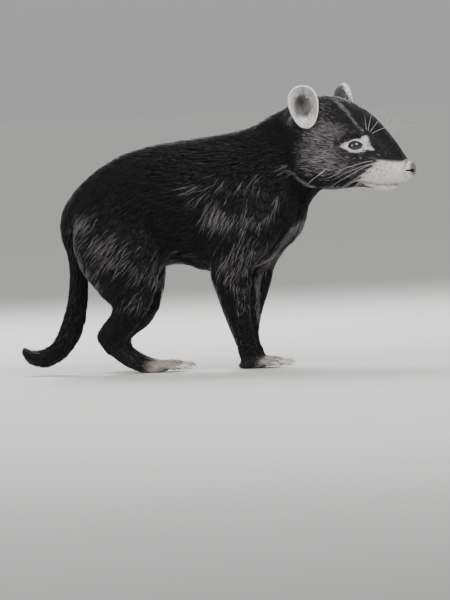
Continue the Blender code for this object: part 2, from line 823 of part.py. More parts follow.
def ear_sockets():
    """What each ear takes from the head and the neck: its cup, filled to the rim."""
    rings = [ear_ring(share, -GAP / UNIT) for share in (*EAR_SHARES, 1.0)]
    front = [point + table_point(0, 0, 1) for point in rings[-1]]
    sockets = []
    for mirror in (1, -1):
        socket = skin_rings("socket", [*rings, front])
        socket.data.transform(ear_place(mirror))
        sockets.append(socket)
    return sockets


def make_ears():
    """Cups with a rounded rim."""
    rings = [ear_ring(share, 0) for share in EAR_SHARES]
    rings.append(ear_ring(1.0, EAR_WALL * 0.35))
    rings += [ear_ring(share, EAR_WALL) for share in EAR_SHARES[::-1]]
    ears = []
    for side, mirror in (("left", 1), ("right", -1)):
        ear = skin_rings(f"ear_{side}", rings)
        ear.data.transform(ear_place(mirror))
        ears.append(ear)
    return ears


def material(name):
    colour, roughness = MATERIALS[name]
    made = bpy.data.materials.get(name) or bpy.data.materials.new(name)
    made.use_nodes = True
    shader = made.node_tree.nodes["Principled BSDF"]
    shader.inputs["Base Color"].default_value = (*colour, 1)
    shader.inputs["Roughness"].default_value = roughness
    shader.inputs["Metallic"].default_value = 0.0
    return made


def finish_name(node_name):
    for key in ("paw", "ear", "eye", "nose"):
        if node_name.startswith(key) or node_name.split("_")[0].endswith(key):
            return key
    return "coat"


def centre_on_floor(nodes):
    """Moves all nodes so that the origin is on the floor, under the middle of the box."""
    corners = np.array([v.co for node in nodes for v in node.data.vertices])
    middle = (corners.min(0) + corners.max(0)) / 2
    shift = Matrix.Translation((-middle[0], -middle[1], 0))
    for node in nodes:
        node.data.transform(shift)


def main():
    for shape in list(bpy.data.objects):
        bpy.data.objects.remove(shape, do_unlink=True)
    whole, eyes = whole_body()
    bodies = {
        key: thinned(whole, key, count, face_weight if key == "front" else None)
        for key, count in WHOLE_TRIANGLES.items()
    }
    for key in ("front", "trunk"):
        boolean(bodies[key], ear_sockets(), "DIFFERENCE")
    nodes = [*make_limbs(bodies), *make_trunk(bodies["trunk"]), *make_tail(bodies["rear"])]
    head = make_head(bodies["front"])
    nodes += [*make_ears(), *make_eyes(head, eyes), make_nose(head), head]
    remove(whole, bodies["limb"], bodies["foot"])
    centre_on_floor(nodes)
    for node in nodes:
        node.data.materials.clear()
        node.data.materials.append(material(finish_name(node.name)))
        node.data.shade_smooth()
        node.data.set_sharp_from_angle(angle=SHARP_EDGE)


main()
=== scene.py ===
"""A life-size Tasmanian devil, dressed around its fixed frame.

One skin lies inside the frame's solids by the depth of the coat. The coat is solid tufts that
grow on it. Eyes, lids, nose, ears, claws and whiskers are pieces of their own.
"""

import math
from collections import namedtuple

import bmesh
import bpy
import numpy as np
from bpy.props import FloatProperty, FloatVectorProperty, PointerProperty
from mathutils import Matrix, Vector
from mathutils.bvhtree import BVHTree
from mathutils.kdtree import KDTree


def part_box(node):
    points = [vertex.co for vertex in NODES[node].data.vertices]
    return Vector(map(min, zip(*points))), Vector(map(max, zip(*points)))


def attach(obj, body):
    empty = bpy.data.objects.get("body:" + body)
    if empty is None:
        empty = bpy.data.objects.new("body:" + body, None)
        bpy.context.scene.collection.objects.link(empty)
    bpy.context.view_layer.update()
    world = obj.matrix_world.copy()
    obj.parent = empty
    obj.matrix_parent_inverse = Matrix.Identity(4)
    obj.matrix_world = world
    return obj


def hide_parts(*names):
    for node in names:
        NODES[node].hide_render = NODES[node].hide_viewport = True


bl_info = {
    "name": "Tasmanian devil",
    "version": (1, 0, 0),
    "blender": (4, 5, 0),
    "location": "View3D > Sidebar > Devil",
    "description": "Dresses the solids of a Tasmanian devil with skin, coat, eyes and whiskers",
    "category": "Object",
}

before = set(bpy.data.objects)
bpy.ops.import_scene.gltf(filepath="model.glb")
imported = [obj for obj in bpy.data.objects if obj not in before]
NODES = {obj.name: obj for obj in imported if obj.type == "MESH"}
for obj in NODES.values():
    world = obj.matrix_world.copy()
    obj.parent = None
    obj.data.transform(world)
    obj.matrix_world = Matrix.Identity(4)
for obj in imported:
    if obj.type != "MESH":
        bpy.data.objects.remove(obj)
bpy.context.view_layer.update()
BODY = "root"
MM = 0.001
SIDES = {"left": 1, "right": -1}

# The tables below are in millimetres from a point on the floor, which the frame gives:
# the middle right claw reaches this far forward of it, and the tail lies in its middle plane.
FORE_REACH = 105.2
TAIL_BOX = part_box("tail_middle")
ORIGIN = Vector(
    (
        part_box("forepaw_right")[1].x - FORE_REACH * MM,
        (TAIL_BOX[0].y + TAIL_BOX[1].y) / 2,
        0,
    )
)

# Head, in its own frame: forward, to its left and up, from the base of the skull.
SKULL_BASE = (140.0, 0.0, 300.0)
HEAD_TURN = math.radians(-25)
# The head's markings are kept above this height over the floor.
HEAD_LOWEST = 215.0
NOSE_TIP = (172.0, 0.0, -32.0)
MOUTH_LINE = [(84, -36), (92, -42), (104, -47.5), (120, -51), (138, -51.5), (150, -50)]
EAR_CENTRE = (30.0, 62.5, 61.0)
EAR_AIM = math.radians(58)
EAR_LEAN = math.radians(14)

Toe = namedtuple("Toe", "knuckle length turn")
# Knuckle (x, distance from the foot's middle line, outwards), length and outward turn in degrees.
FORE_TOES = [
    Toe((66, -14), 15, -24),
    Toe((70, -7.5), 22, -7),
    Toe((71.5, 0.5), 24, 1),
    Toe((70, 8.5), 22, 9),
    Toe((65, 15), 17, 22),
]
HIND_TOES = [
    Toe((-71, -11.5), 22, -9),
    Toe((-69.5, -3.8), 25, -2),
    Toe((-70, 4.2), 25, 5),
    Toe((-72, 12), 21, 14),
]
FORE_FOOT_SIDE = 40.0
HIND_FOOT_SIDE = 47.0
TOE_TIP_RADIUS = 4.0
TOE_HEIGHT = 8.0
TOE_DROP = 3.2
CLAW_LENGTH = 12.0
CLAW_LIFT = 1.2
# The claw's middle line from its root: the share of its length ahead, and its rise.
CLAW_LINE = [(-0.25, 0), (0.4, 0.9), (0.8, -1.6), (1.0, -3.6)]

Coat = namedtuple("Coat", "depth length width per_cm2 steps")
# How deep the skin lies, how long and wide a tuft is, in millimetres, and how many there are.
COATS = {
    "head": Coat(2.4, 9.0, 0.75, 46, 2),
    "nose": Coat(1.0, 5.5, 0.65, 60, 2),
    "neck": Coat(6.5, 19.0, 1.2, 25, 3),
    "torso": Coat(6.0, 21.0, 1.25, 20, 3),
    "tail": Coat(4.0, 16.0, 1.2, 28, 3),
    "upper_arm": Coat(4.5, 16.0, 1.15, 22, 3),
    "forearm": Coat(2.6, 10.0, 1.0, 38, 2),
    "forepaw": Coat(0.8, 4.2, 0.65, 54, 2),
    "thigh": Coat(5.5, 19.0, 1.25, 20, 3),
    "shank": Coat(3.2, 12.0, 1.05, 33, 2),
    "hindpaw": Coat(1.0, 5.0, 0.7, 54, 2),
}
# The skin's grain, the share of its triangles that is kept, and how far the solids are grown
# before they are joined, so that the cuts between them close.
SKIN_VOXEL = 1.8
SKIN_KEPT = 0.6
CUT_COVER = 0.35
# The skin under the nose's pad: where it starts, forward of the skull's base, and its depth.
PAD_START = 158
PAD_DEPTH = 3.4
TAIL_LINE = [
    (-191, 228), (-189, 186), (-187, 123), (-190, 96), (-196, 72),
    (-216, 36), (-230, 27), (-243, 23), (-255, 24.5), (-265, 31.5), (-271, 42),
]


def linear(hex_colour):
    """An sRGB hex colour as linear RGB."""
    values = [int(hex_colour[i : i + 2], 16) / 255 for i in (1, 3, 5)]
    return np.array([v / 12.92 if v <= 0.04045 else ((v + 0.055) / 1.055) ** 2.4 for v in values])


def paint(name):
    """One of the scene's chosen colours, as linear RGB."""
    return np.array(getattr(bpy.context.scene.devil_colours, name))


def table_point(x, y, z):
    return ORIGIN + Vector((x, y, z)) * MM


def head_place():
    """From the head's own frame to the world."""
    return Matrix.Translation(table_point(*SKULL_BASE)) @ Matrix.Rotation(HEAD_TURN, 4, "Z")


def head_point(forward, side, up):
    return head_place() @ (Vector((forward, side, up)) * MM)


def in_place(points, place):
    """World points in a place's own frame, in millimetres."""
    inward = np.array(place.inverted())
    return (points @ inward[:3, :3].T + inward[:3, 3]) / MM


def in_head(points):
    """World points as (forward, side, up) from the base of the skull."""
    return in_place(points, head_place())


def in_table(points):
    """World points in the table's millimetres."""
    return (points - np.array(ORIGIN)) / MM


def mixed(colour, name, share):
    """The colour with a named one over it, by the share that it has of each point."""
    return colour * (1 - share[:, None]) + paint(name) * share[:, None]


def smooth_step(low, high, value):
    """From 0 at low to 1 at high; low may be the greater of the two."""
    t = np.clip((value - low) / (high - low), 0, 1)
    return t * t * (3 - 2 * t)


def unit_rows(rows):
    return rows / np.maximum(np.linalg.norm(rows, axis=1), 1e-12)[:, None]


def mesh_object(name, mesh):
    made = bpy.data.objects.new(name, mesh)
    bpy.context.scene.collection.objects.link(made)
    return made


def mesh_from(name, points, faces):
    mesh = bpy.data.meshes.new(name)
    mesh.from_pydata([tuple(p) for p in points], [], faces)
    mesh.update()
    return mesh_object(name, mesh)


def applied(shape):
    """The object with its modifiers turned into plain mesh."""
    graph = bpy.context.evaluated_depsgraph_get()
    mesh = bpy.data.meshes.new_from_object(shape.evaluated_get(graph))
    old = shape.data
    shape.modifiers.clear()
    shape.data = mesh
    bpy.data.meshes.remove(old)
    mesh.name = shape.name
    return shape


def finish_piece(piece, finish, nodes=()):
    """Gives a piece its material, its body and the nodes that it stands for."""
    piece.data.materials.clear()
    piece.data.materials.append(finish)
    piece.data.shade_smooth()
    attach(piece, BODY)
    if nodes:
        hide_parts(*nodes)
    return piece


def look_at_frame(aim, up=(0, 0, 1)):
    """A rotation whose Z axis is the aim and whose Y axis is as near up as it can be."""
    forward = Vector(aim).normalized()
    across = Vector(up).cross(forward).normalized()
    over = forward.cross(across)
    return Matrix((across, over, forward)).transposed().to_4x4()


# Markings

Patch = namedtuple("Patch", "x z wide high share")
# Where pale strands, which are painted sheen highlights, lie thickest on each flank, in the table's
# side view.
FLANK_SHEEN_PATCHES = [
    Patch(-4, 258, 20, 10, 0.55),
    Patch(14, 230, 16, 16, 0.6),
    Patch(30, 214, 26, 14, 0.55),
    Patch(60, 215, 22, 14, 0.5),
    Patch(62, 178, 24, 14, 0.55),
    Patch(44, 158, 28, 16, 0.5),
    Patch(28, 150, 16, 22, 0.4),
    Patch(56, 262, 40, 16, 0.3),
    Patch(44, 110, 14, 34, 0.35),
    Patch(-170, 220, 20, 18, 0.6),
    Patch(-138, 195, 28, 18, 0.55),
    Patch(-120, 168, 26, 16, 0.5),
    Patch(-86, 150, 16, 20, 0.5),
    Patch(-160, 142, 14, 20, 0.45),
    Patch(-44, 162, 26, 12, 0.45),
    Patch(-100, 110, 20, 16, 0.3),
]
# The same painted sheen highlights on the head, in its own frame.
HEAD_SHEEN_PATCHES = [
    Patch(64, -12, 26, 22, 0.85),
    Patch(50, 20, 22, 22, 0.75),
    Patch(72, 24, 16, 10, 0.7),
    Patch(46, 50, 20, 14, 0.5),
    Patch(86, -30, 20, 10, 0.5),
    Patch(34, -10, 16, 24, 0.4),
    Patch(118, -12, 12, 7, 0.4),
]

Streak = namedtuple("Streak", "line wide share apart", defaults=(0.0,))
# Painted rim highlights as thin pale lines of hair, in the table's side view: the lit edges of
# legs, belly and back. A line with apart fades out nearer to the middle plane than that.
FLANK_RIM_HIGHLIGHTS = [
    Streak(
        [(145, 231), (123, 204), (100, 172), (68, 143), (60, 115), (59, 80), (63, 50)], 3.2, 0.95
    ),
    Streak([(130, 258), (104, 240), (93, 229), (84, 215), (67, 205)], 4.0, 0.55),
    Streak([(-76, 140), (-58, 146), (-43, 152), (-31, 149), (-18, 140), (0, 134)], 5.0, 0.95),
    Streak([(3, 165), (0, 138), (8, 113), (17, 84), (34, 46)], 3.0, 0.7),
    Streak([(-68, 166), (-70, 142), (-69, 117)], 3.4, 0.95),
    Streak([(-182, 196), (-176, 168), (-155, 142), (-142, 107)], 4.5, 0.85),
    Streak([(-183, 254), (-144, 290), (-105, 308), (-30, 317), (6, 318)], 2.4, 0.35),
    Streak([(164, 240), (146, 230), (139, 219), (136, 204)], 3.5, 0.6),
]
# The same painted rim highlights on the head, in its own frame: the brow's edge, the ridge to the
# eye, the jaw and the fold below the eye's front corner.
HEAD_RIM_HIGHLIGHTS = [
    Streak([(13, 79), (50, 75), (85, 62), (116, 39), (138, 7), (150, -8)], 2.2, 0.35),
    Streak([(50, 74), (67, 61), (82, 48), (94, 34), (106, 22)], 1.8, 0.95, 20.0),
    Streak([(-6, -12), (3, -24), (15, -36), (28, -46), (43, -52), (82, -55)], 3.0, 0.85),
    Streak([(110, -3), (107, -9), (104, -14)], 2.4, 0.8),
]


def sheen_patch_share(patches, x, z):
    """The share of pale strands, painted sheen highlights, at each point, from soft-edged patches.
    """
    dark = np.ones(len(x))
    for patch in patches:
        off = ((x - patch.x) / patch.wide) ** 2 + ((z - patch.z) / patch.high) ** 2
        dark *= 1 - patch.share * np.exp(-off)
    return 1 - dark


def away_from_line(line, x, z):
    """How far each point lies from a line of straight runs."""
    places = np.stack((x, z), axis=1)
    corners = np.array(line, float)
    away = np.full(len(places), np.inf)
    for start, end in zip(corners[:-1], corners[1:]):
        along = end - start
        share = np.clip((places - start) @ along / (along @ along), 0, 1)
        off = places - start - share[:, None] * along
        away = np.minimum(away, np.linalg.norm(off, axis=1))
    return away


def rim_highlight_share(streaks, x, side, z):
    """The share of pale strands, painted rim highlights, at each point, along soft lines."""
    dark = np.ones(len(x))
    for streak in streaks:
        away = away_from_line(streak.line, x, z)
        share = streak.share * np.exp(-((away / streak.wide) ** 2))
        if streak.apart:
            share *= smooth_step(0.4 * streak.apart, streak.apart, np.abs(side))
        dark *= 1 - share
    return 1 - dark


def inside_outline(outline, x, z, soft):
    """1 inside a closed outline and 0 outside it, with an edge of the given softness."""
    corners = [*outline, outline[0]]
    within = np.zeros(len(x), bool)
    for (x0, z0), (x1, z1) in zip(corners[:-1], corners[1:]):
        if z0 != z1:
            crosses = (z0 > z) != (z1 > z)
            within ^= crosses & (x < x0 + (z - z0) * (x1 - x0) / (z1 - z0))
    away = away_from_line(corners, x, z)
    return smooth_step(-soft, soft, np.where(within, away, -away))


# The white's rear edge on the muzzle, forward for its height, and its upper edge, up for forward.
MUZZLE_REAR = ([-62, -45, -18], [112, 95, 124])
MUZZLE_TOP = ([120, 150], [-17, -22])


def muzzle_share(head):
    """The white of the muzzle, with a ragged edge behind it."""
    forward, side, up = head.T
    edge = np.interp(up, *MUZZLE_REAR)
    edge = edge + 2.5 * np.sin(up * 0.9) + 1.5 * np.sin(up * 2.3 + side)
    behind = smooth_step(edge - 3, edge + 5, forward)
    top = np.interp(forward, *MUZZLE_TOP)
    under = 1 - smooth_step(top - 2, top + 3.5, up)
    return behind * under


# The white round an eye, forward of its middle and above it: an almond with a spur at its front.
EYE_RING = [
    (-16, 0.4), (-10.5, 4.6), (-4, 8), (2, 9.3), (7.5, 8.8), (11.5, 13), (14.5, 14), (17.5, 10.5),
    (20, 5.5), (22, -0.5), (26.5, -6.6), (21, -6.2), (15.5, -5.6), (9, -7.2), (1, -8.2), (-6, -6.8),
    (-12, -3.2),
]


# How far the ring is set ahead of the eye's middle, how soft its edge is, how much greyer its
# front is, and how far it stays from the middle of the head.
EYE_RING_AHEAD = 0.8
EYE_RING_SOFT = 0.8
EYE_RING_GREY = 0.6
EYE_RING_SIDE = 15


def eye_ring_share(head):
    """The white round each eye, greyer at its front."""
    forward, side, up = head.T
    across, over = forward - EYE_MIDDLE[0] - EYE_RING_AHEAD, up - EYE_MIDDLE[2]
    ring = inside_outline(EYE_RING, across, over, EYE_RING_SOFT)
    grey = smooth_step(14, 20, across) * smooth_step(-5, 0, over) * smooth_step(13, 8, over)
    return ring * (1 - EYE_RING_GREY * grey) * (np.abs(side) > EYE_RING_SIDE)


# The cheeks' grey is painted sheen, laid where the head's sheen patches lie, at this strength.
CHEEK_SHEEN_GREY = 0.9
# The lips' line is partly their dark edge and partly painted shade in the mouth's crease.
LIP_SHADE_GREY = 0.8
LIP_WIDE = 1.3


def lip_line_and_shade_share(head):
    """The grey line of the closed lips, low on the muzzle: partly the lips' dark edge and partly
    painted shade in the mouth's crease.
    """
    forward, _, up = head.T
    away = away_from_line(MOUTH_LINE, forward, up)
    return np.exp(-((away / LIP_WIDE) ** 2)) * smooth_step(86, 96, forward)


# Where the feet's pale skin starts and is full, going forward, and where it fades, going up. On
# a forefoot its rear edge leans forward as it rises.
FORE_PALE = ((50, 66), (20, 32))
FORE_PALE_LEAN = 0.5
HIND_PALE = ((-104, -84), (18, 34))


def paw_share(table):
    """The pale skin and thin hair of the feet, less towards the wrist and the heel."""
    x, _, z = table.T
    ahead, up = FORE_PALE
    fore = smooth_step(*ahead, x - FORE_PALE_LEAN * z) * (1 - smooth_step(*up, z))
    ahead, up = HIND_PALE
    hind = smooth_step(*ahead, x) * (1 - smooth_step(*up, z)) * (x < 0)
    return np.maximum(fore, hind)


def markings(points):
    """For each point: its coat colour, with the painted sheen's grey on the cheeks, and the share
    of pale strands there, which are painted sheen and rim highlights.
    """
    head, table = in_head(points), in_table(points)
    on_head = smooth_step(-14, 6, head[:, 0]) * (table[:, 2] > HEAD_LOWEST)
    flank = sheen_patch_share(FLANK_SHEEN_PATCHES, table[:, 0], table[:, 2])
    flank = np.maximum(flank, rim_highlight_share(FLANK_RIM_HIGHLIGHTS, *table.T))
    cheek = sheen_patch_share(HEAD_SHEEN_PATCHES, head[:, 0], head[:, 2])
    face = np.maximum(cheek, rim_highlight_share(HEAD_RIM_HIGHLIGHTS, *head.T))
    share = on_head * face + (1 - on_head) * flank
    muzzle = muzzle_share(head)
    white = np.maximum(muzzle, eye_ring_share(head)) * on_head
    paw = paw_share(table)
    # Painted sheen: the cheeks turn grey where the head's sheen patches lie.
    colour = mixed(paint("black"), "cheek", on_head * cheek * CHEEK_SHEEN_GREY)
    colour = mixed(colour, "white", white)
    # The lips' line: their dark edge and painted shade in the mouth's crease.
    colour = mixed(colour, "spot_and_lip_shade", lip_line_and_shade_share(head) * muzzle * on_head * LIP_SHADE_GREY)
    return mixed(colour, "paw", paw), share * (1 - white) * (1 - paw)


# Skin

Ground = namedtuple("Ground", "points normals triangles lie length height width density")


def region_of(node_name):
    for region in sorted(COATS, key=len, reverse=True):
        if node_name.startswith(region):
            return region
    return "head"


def nearest_nodes(points, names):
    """The index in names of the node that each point is nearest to."""
    owners = []
    tree = KDTree(sum(len(NODES[name].data.vertices) for name in names))
    for index, name in enumerate(names):
        for vert in NODES[name].data.vertices:
            tree.insert(vert.co, len(owners))
            owners.append(index)
    tree.balance()
    return np.array([owners[tree.find(point)[1]] for point in points])


def mesh_arrays(mesh):
    points = np.empty(3 * len(mesh.vertices))
    mesh.vertices.foreach_get("co", points)
    edges = np.empty(2 * len(mesh.edges), int)
    mesh.edges.foreach_get("vertices", edges)
    return points.reshape(-1, 3), edges.reshape(-1, 2)


def relaxed(values, edges, rounds, hold=None):
    """Averages each row with its neighbours; hold is how firmly each row keeps its own value."""
    count = len(values)
    starts = np.concatenate((edges[:, 0], edges[:, 1]))
    ends = np.concatenate((edges[:, 1], edges[:, 0]))
    degree = np.maximum(np.bincount(starts, minlength=count), 1)
    move = 0.5 if hold is None else 0.5 * (1 - hold)[:, None]
    for _ in range(rounds):
        near = np.stack(
            [np.bincount(starts, weights=column[ends], minlength=count) for column in values.T],
            axis=1,
        )
        values = values + move * (near / degree[:, None] - values)
    return values


def tree_of(points, triangles):
    return BVHTree.FromPolygons(points.tolist(), triangles.tolist())


def corner_normals(mesh):
    return np.array([normal.vector for normal in mesh.vertex_normals])


def faced_outward(shape):
    """Turns every face of a closed shape outward."""
    mesh = bmesh.new()
    mesh.from_mesh(shape.data)
    bmesh.ops.recalc_face_normals(mesh, faces=mesh.faces)
    mesh.to_mesh(shape.data)
    mesh.free()
    return shape


def normals_of(points, triangles):
    """A normal for each point, from the triangles round it by their area."""
    a, b, c = (points[triangles[:, i]] for i in range(3))
    faces = np.cross(b - a, c - a)
    return unit_rows(
        np.stack(
            [
                sum(np.bincount(triangles[:, i], faces[:, axis], len(points)) for i in range(3))
                for axis in range(3)
            ],
            axis=1,
        )
    )


def triangles_of(mesh):
    mesh.calc_loop_triangles()
    triangles = np.empty(3 * len(mesh.loop_triangles), int)
    mesh.loop_triangles.foreach_get("vertices", triangles)
    return triangles.reshape(-1, 3)


def toe_path(toe, side, mirror):
    """The middle of the toe's tip and the claw's middle line, in the table's millimetres."""
    turn = math.radians(toe.turn)
    ahead = np.array([math.cos(turn), mirror * math.sin(turn), 0])
    knuckle = np.array([toe.knuckle[0], mirror * (side + toe.knuckle[1]), TOE_HEIGHT])
    tip = knuckle + ahead * toe.length + (0, 0, -TOE_DROP)
    root = tip + (0, 0, CLAW_LIFT)
    claw = [root + ahead * CLAW_LENGTH * share + (0, 0, rise) for share, rise in CLAW_LINE]
    return tip, np.array(claw)


def all_toes():
    """Every toe of the four feet, as toe_path gives it."""
    for toes, side in ((FORE_TOES, FORE_FOOT_SIDE), (HIND_TOES, HIND_FOOT_SIDE)):
        for toe in toes:
            for mirror in (1, -1):
                yield toe_path(toe, side, mirror)


# How near a toe's tip and a claw's middle line a point has to be, to be the claw's.
NEAR_TOE = 22
NEAR_CLAW = 3.0


def without_claws(points):
    """Draws the solids' claws back into the toes, because the claws are pieces of their own."""
    table = in_table(points)
    for tip, claw in all_toes():
        along = np.linspace(0, 1, 13)
        line = np.array([np.interp(along, np.linspace(0, 1, 4), axis) for axis in claw.T]).T
        near = np.abs(table - tip).max(1) < NEAR_TOE
        rows = np.flatnonzero(near)
        away = np.linalg.norm(table[rows][:, None] - line[None], axis=2).min(1)
        off = table[rows] - tip
        reach = np.linalg.norm(off, axis=1)
        ahead = claw[1] - claw[0]
        chosen = (away < NEAR_CLAW) & (reach > TOE_TIP_RADIUS) & (off @ ahead > 0)
        scale = (0.9 * TOE_TIP_RADIUS / reach[chosen])[:, None]
        table[rows[chosen]] = tip + off[chosen] * scale
    return np.array(ORIGIN) + table * MM


def flesh_names():
    return sorted(name for name in NODES if not name.startswith(("eye_", "ear_")))


def joined_flesh():
    """One closed skin over all the nodes of flesh, with the cuts and the sockets closed."""
    joined = bmesh.new()
    for name in [*flesh_names(), "eye_left", "eye_right"]:
        joined.from_mesh(NODES[name].data)
    bmesh.ops.remove_doubles(joined, verts=joined.verts, dist=1e-6)
    mesh = bpy.data.meshes.new("skin")
    joined.to_mesh(mesh)
    joined.free()
    points, _ = mesh_arrays(mesh)
    points = without_claws(points + corner_normals(mesh) * CUT_COVER * MM)
    mesh.vertices.foreach_set("co", points.ravel())
    skin = mesh_object("skin", mesh)
    cover = skin.modifiers.new("cover", "REMESH")
    cover.mode = "VOXEL"
    cover.voxel_size = SKIN_VOXEL * MM
    thinned = skin.modifiers.new("thinned", "DECIMATE")
    thinned.ratio = SKIN_KEPT
    return applied(skin)


def column(values, names, owners):
    """One value a point, from the coat of the node that it is nearest to."""
    return np.array([getattr(COATS[region_of(name)], values) for name in names])[owners]


# Over how many millimetres the tail's direction changes from one run of its line to the next.
TAIL_BLEND = 16


def tail_direction(table):
    """Along the tail's middle line, towards its tip."""
    line = np.array(TAIL_LINE, float)
    middles = (line[1:] + line[:-1]) / 2
    steps = line[1:] - line[:-1]
    steps /= np.linalg.norm(steps, axis=1)[:, None]
    away = np.linalg.norm(table[:, None, [0, 2]] - middles[None], axis=2)
    weight = np.exp(-((away / TAIL_BLEND) ** 2)) + 1e-9
    mean = (weight[:, :, None] * steps[None]).sum(1) / weight.sum(1)[:, None]
    return np.stack((mean[:, 0], np.zeros(len(mean)), mean[:, 1]), axis=1)


# How the coat lies on each part: forward, to the left and up.
LIES = {
    "upper_arm": (-0.5, 0.0, -1.0),
    "forearm": (-0.12, 0.0, -1.0),
    "forepaw": (1.0, 0.0, -0.35),
    "thigh": (-0.75, 0.0, -0.9),
    "shank": (-0.45, 0.0, -0.9),
    "hindpaw": (0.85, 0.0, -0.45),
    "neck": (-1.0, 0.0, -0.5),
}
# How steeply the coat of the trunk lies down, for the way along it; less on the back.
TRUNK_LIE = ([-200, -150, -60, 40, 110], [1.6, 0.7, 0.3, 0.55, 0.6])
BACK_HEIGHT = 325
BACK_FADE = 90
BACK_LIE = 0.25


def lie_of(points, names, owners):
    """The direction in which the coat lies at each point."""
    table, head = in_table(points), in_head(points)
    lie = np.zeros_like(points)
    from_nose = unit_rows(head - np.array(NOSE_TIP) - (10, 0, 0))
    head_turn = np.array(head_place().to_3x3())
    for index, name in enumerate(names):
        rows = owners == index
        region = region_of(name)
        if region in ("head", "nose"):
            lie[rows] = from_nose[rows] @ head_turn.T
        elif region == "tail":
            lie[rows] = tail_direction(table[rows])
        elif region == "torso":
            x, _, z = table[rows].T
            lower = np.clip((BACK_HEIGHT - z) / BACK_FADE, 0, 1)
            down = np.interp(x, *TRUNK_LIE) * (BACK_LIE + (1 - BACK_LIE) * lower)
            lie[rows] = np.stack((-np.ones(len(x)), np.zeros(len(x)), -down), axis=1)
        else:
            lie[rows] = LIES[region]
    return unit_rows(lie)


def store(mesh, name, values):
    """Stores a value, a vector or a colour for each point of a mesh."""
    kind = "FLOAT_VECTOR" if values.ndim == 2 and values.shape[1] == 3 else "FLOAT"
    kind = "FLOAT_COLOR" if values.ndim == 2 and values.shape[1] == 4 else kind
    if name in mesh.attributes:
        mesh.attributes.remove(mesh.attributes[name])
    made = mesh.attributes.new(name, kind, "POINT")
    field = {"FLOAT_VECTOR": "vector", "FLOAT_COLOR": "color", "FLOAT": "value"}[kind]
    made.data.foreach_set(field, values.astype(np.float32).ravel())


def with_alpha(colour):
    return np.column_stack((colour, np.ones(len(colour))))


def eye_place(side):
    """The eye's own frame: its middle, with Z looking out and Y up."""
    low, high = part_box(f"eye_{side}")
    centre = (low + high) / 2
    skull = head_point(EYE_MIDDLE[0] - 16, 0, EYE_MIDDLE[2] - 6)
    return Matrix.Translation(centre) @ look_at_frame(centre - skull)


def eye_middle():
    """The middle of both eyes, in the head's frame, with the left eye's side."""
    low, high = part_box("eye_left")
    return in_head(np.array([(low + high) / 2]))[0]


EYE_MIDDLE = eye_middle()
EYE_RADIUS = (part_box("eye_left")[1].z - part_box("eye_left")[0].z) / 2 / MM
BALL_RADIUS = 1.19 * EYE_RADIUS
BALL_INSET = BALL_RADIUS - EYE_RADIUS
# Half the width and height of the lids' opening, how far from the eye's middle the skin is
# drawn in under the lids, by how much, and how high it may stand behind the ball.
LID_OPENING = (9.0, 4.9)
LID_REACH = 15.0
UNDER_LID = 2.5
BEHIND_BALL = 2.0


def sink_round_eyes(points):
    """Draws the skin in under the lids, which are pieces of their own."""
    for side in SIDES:
        place = eye_place(side)
        local = in_place(points, place)
        radius = np.hypot(local[:, 0], local[:, 1])
        near = (radius < LID_REACH) & (local[:, 2] > 0)
        edge = 1 - smooth_step(LID_REACH - 5, LID_REACH, radius[near])
        local[near, 2] -= UNDER_LID * edge
        inner = near & (radius < LID_OPENING[0])
        local[inner, 2] = np.minimum(local[inner, 2], BEHIND_BALL)
        back = np.array(place)
        moved = local * MM @ back[:3, :3].T + back[:3, 3]
        points = np.where(near[:, None], moved, points)
    return points


# Towards the nose the coat gets shallower, shorter, finer and denser: where this starts and is
# full, forward of the skull's base, and by what share of each.
FACE_FADE = (30, 105)
FACE_CHANGE = {"depth": -0.6, "length": -0.56, "width": -0.42, "per_cm2": 0.7}
# How far forward of the skull's base the skin round the nose's pad turns dark.
NOSE_SKIN_START = 157
SINK_STEPS = 3


def make_skin():
    """The bare skin, inside the solids by the coat's depth, with its lie and markings."""
    skin = joined_flesh()
    names = flesh_names()
    points, edges = mesh_arrays(skin.data)
    owners = nearest_nodes(points, names)
    head = in_head(points)
    on_nose = owners == names.index("nose")
    face = smooth_step(*FACE_FADE, head[:, 0]) * (on_nose | (owners == names.index("head")))

    def coat(key):
        return column(key, names, owners) * (1 + FACE_CHANGE[key] * face)

    depth = coat("depth")
    depth[on_nose & (head[:, 0] > PAD_START)] = PAD_DEPTH
    depth = relaxed(depth[:, None], edges, 25)[:, 0]
    hold = np.clip(1.2 - depth / 3, 0, 0.85)
    points = relaxed(points, edges, 14, hold)
    triangles = triangles_of(skin.data)
    for _ in range(SINK_STEPS):
        points = points - normals_of(points, triangles) * (depth * MM / SINK_STEPS)[:, None]
        points = relaxed(points, edges, 2, hold)
    store(skin.data, "before_lids", points)
    points = sink_round_eyes(points)
    skin.data.vertices.foreach_set("co", points.ravel())
    skin.data.update()
    lie = relaxed(lie_of(points, names, owners), edges, 30)
    colour, _ = markings(points)
    under_nose = (head[:, 0] > NOSE_SKIN_START) & (in_table(points)[:, 2] > HEAD_LOWEST)
    colour[under_nose] = paint("lid")
    fields = [coat(key) for key in ("length", "width", "per_cm2")]
    fields = relaxed(np.stack(fields, axis=1), edges, 12)
    store(skin.data, "lie", lie)
    store(skin.data, "coat", fields)
    store(skin.data, "depth", depth)
    store(skin.data, "owner", owners.astype(float))
    store(skin.data, "tint", with_alpha(colour))
    return skin


# Coat


def read(mesh, name):
    """The rows of values stored on a mesh's points."""
    layer = mesh.attributes[name]
    field, size = {
        "FLOAT_VECTOR": ("vector", 3),
        "FLOAT_COLOR": ("color", 4),
        "FLOAT": ("value", 1),
    }[layer.data_type]
    values = np.empty(size * len(layer.data), np.float32)
    layer.data.foreach_get(field, values)
    return values.reshape(-1, size).astype(float)


def tangent(direction, normals):
    flat = direction - normals * (direction * normals).sum(1)[:, None]
    return unit_rows(flat)


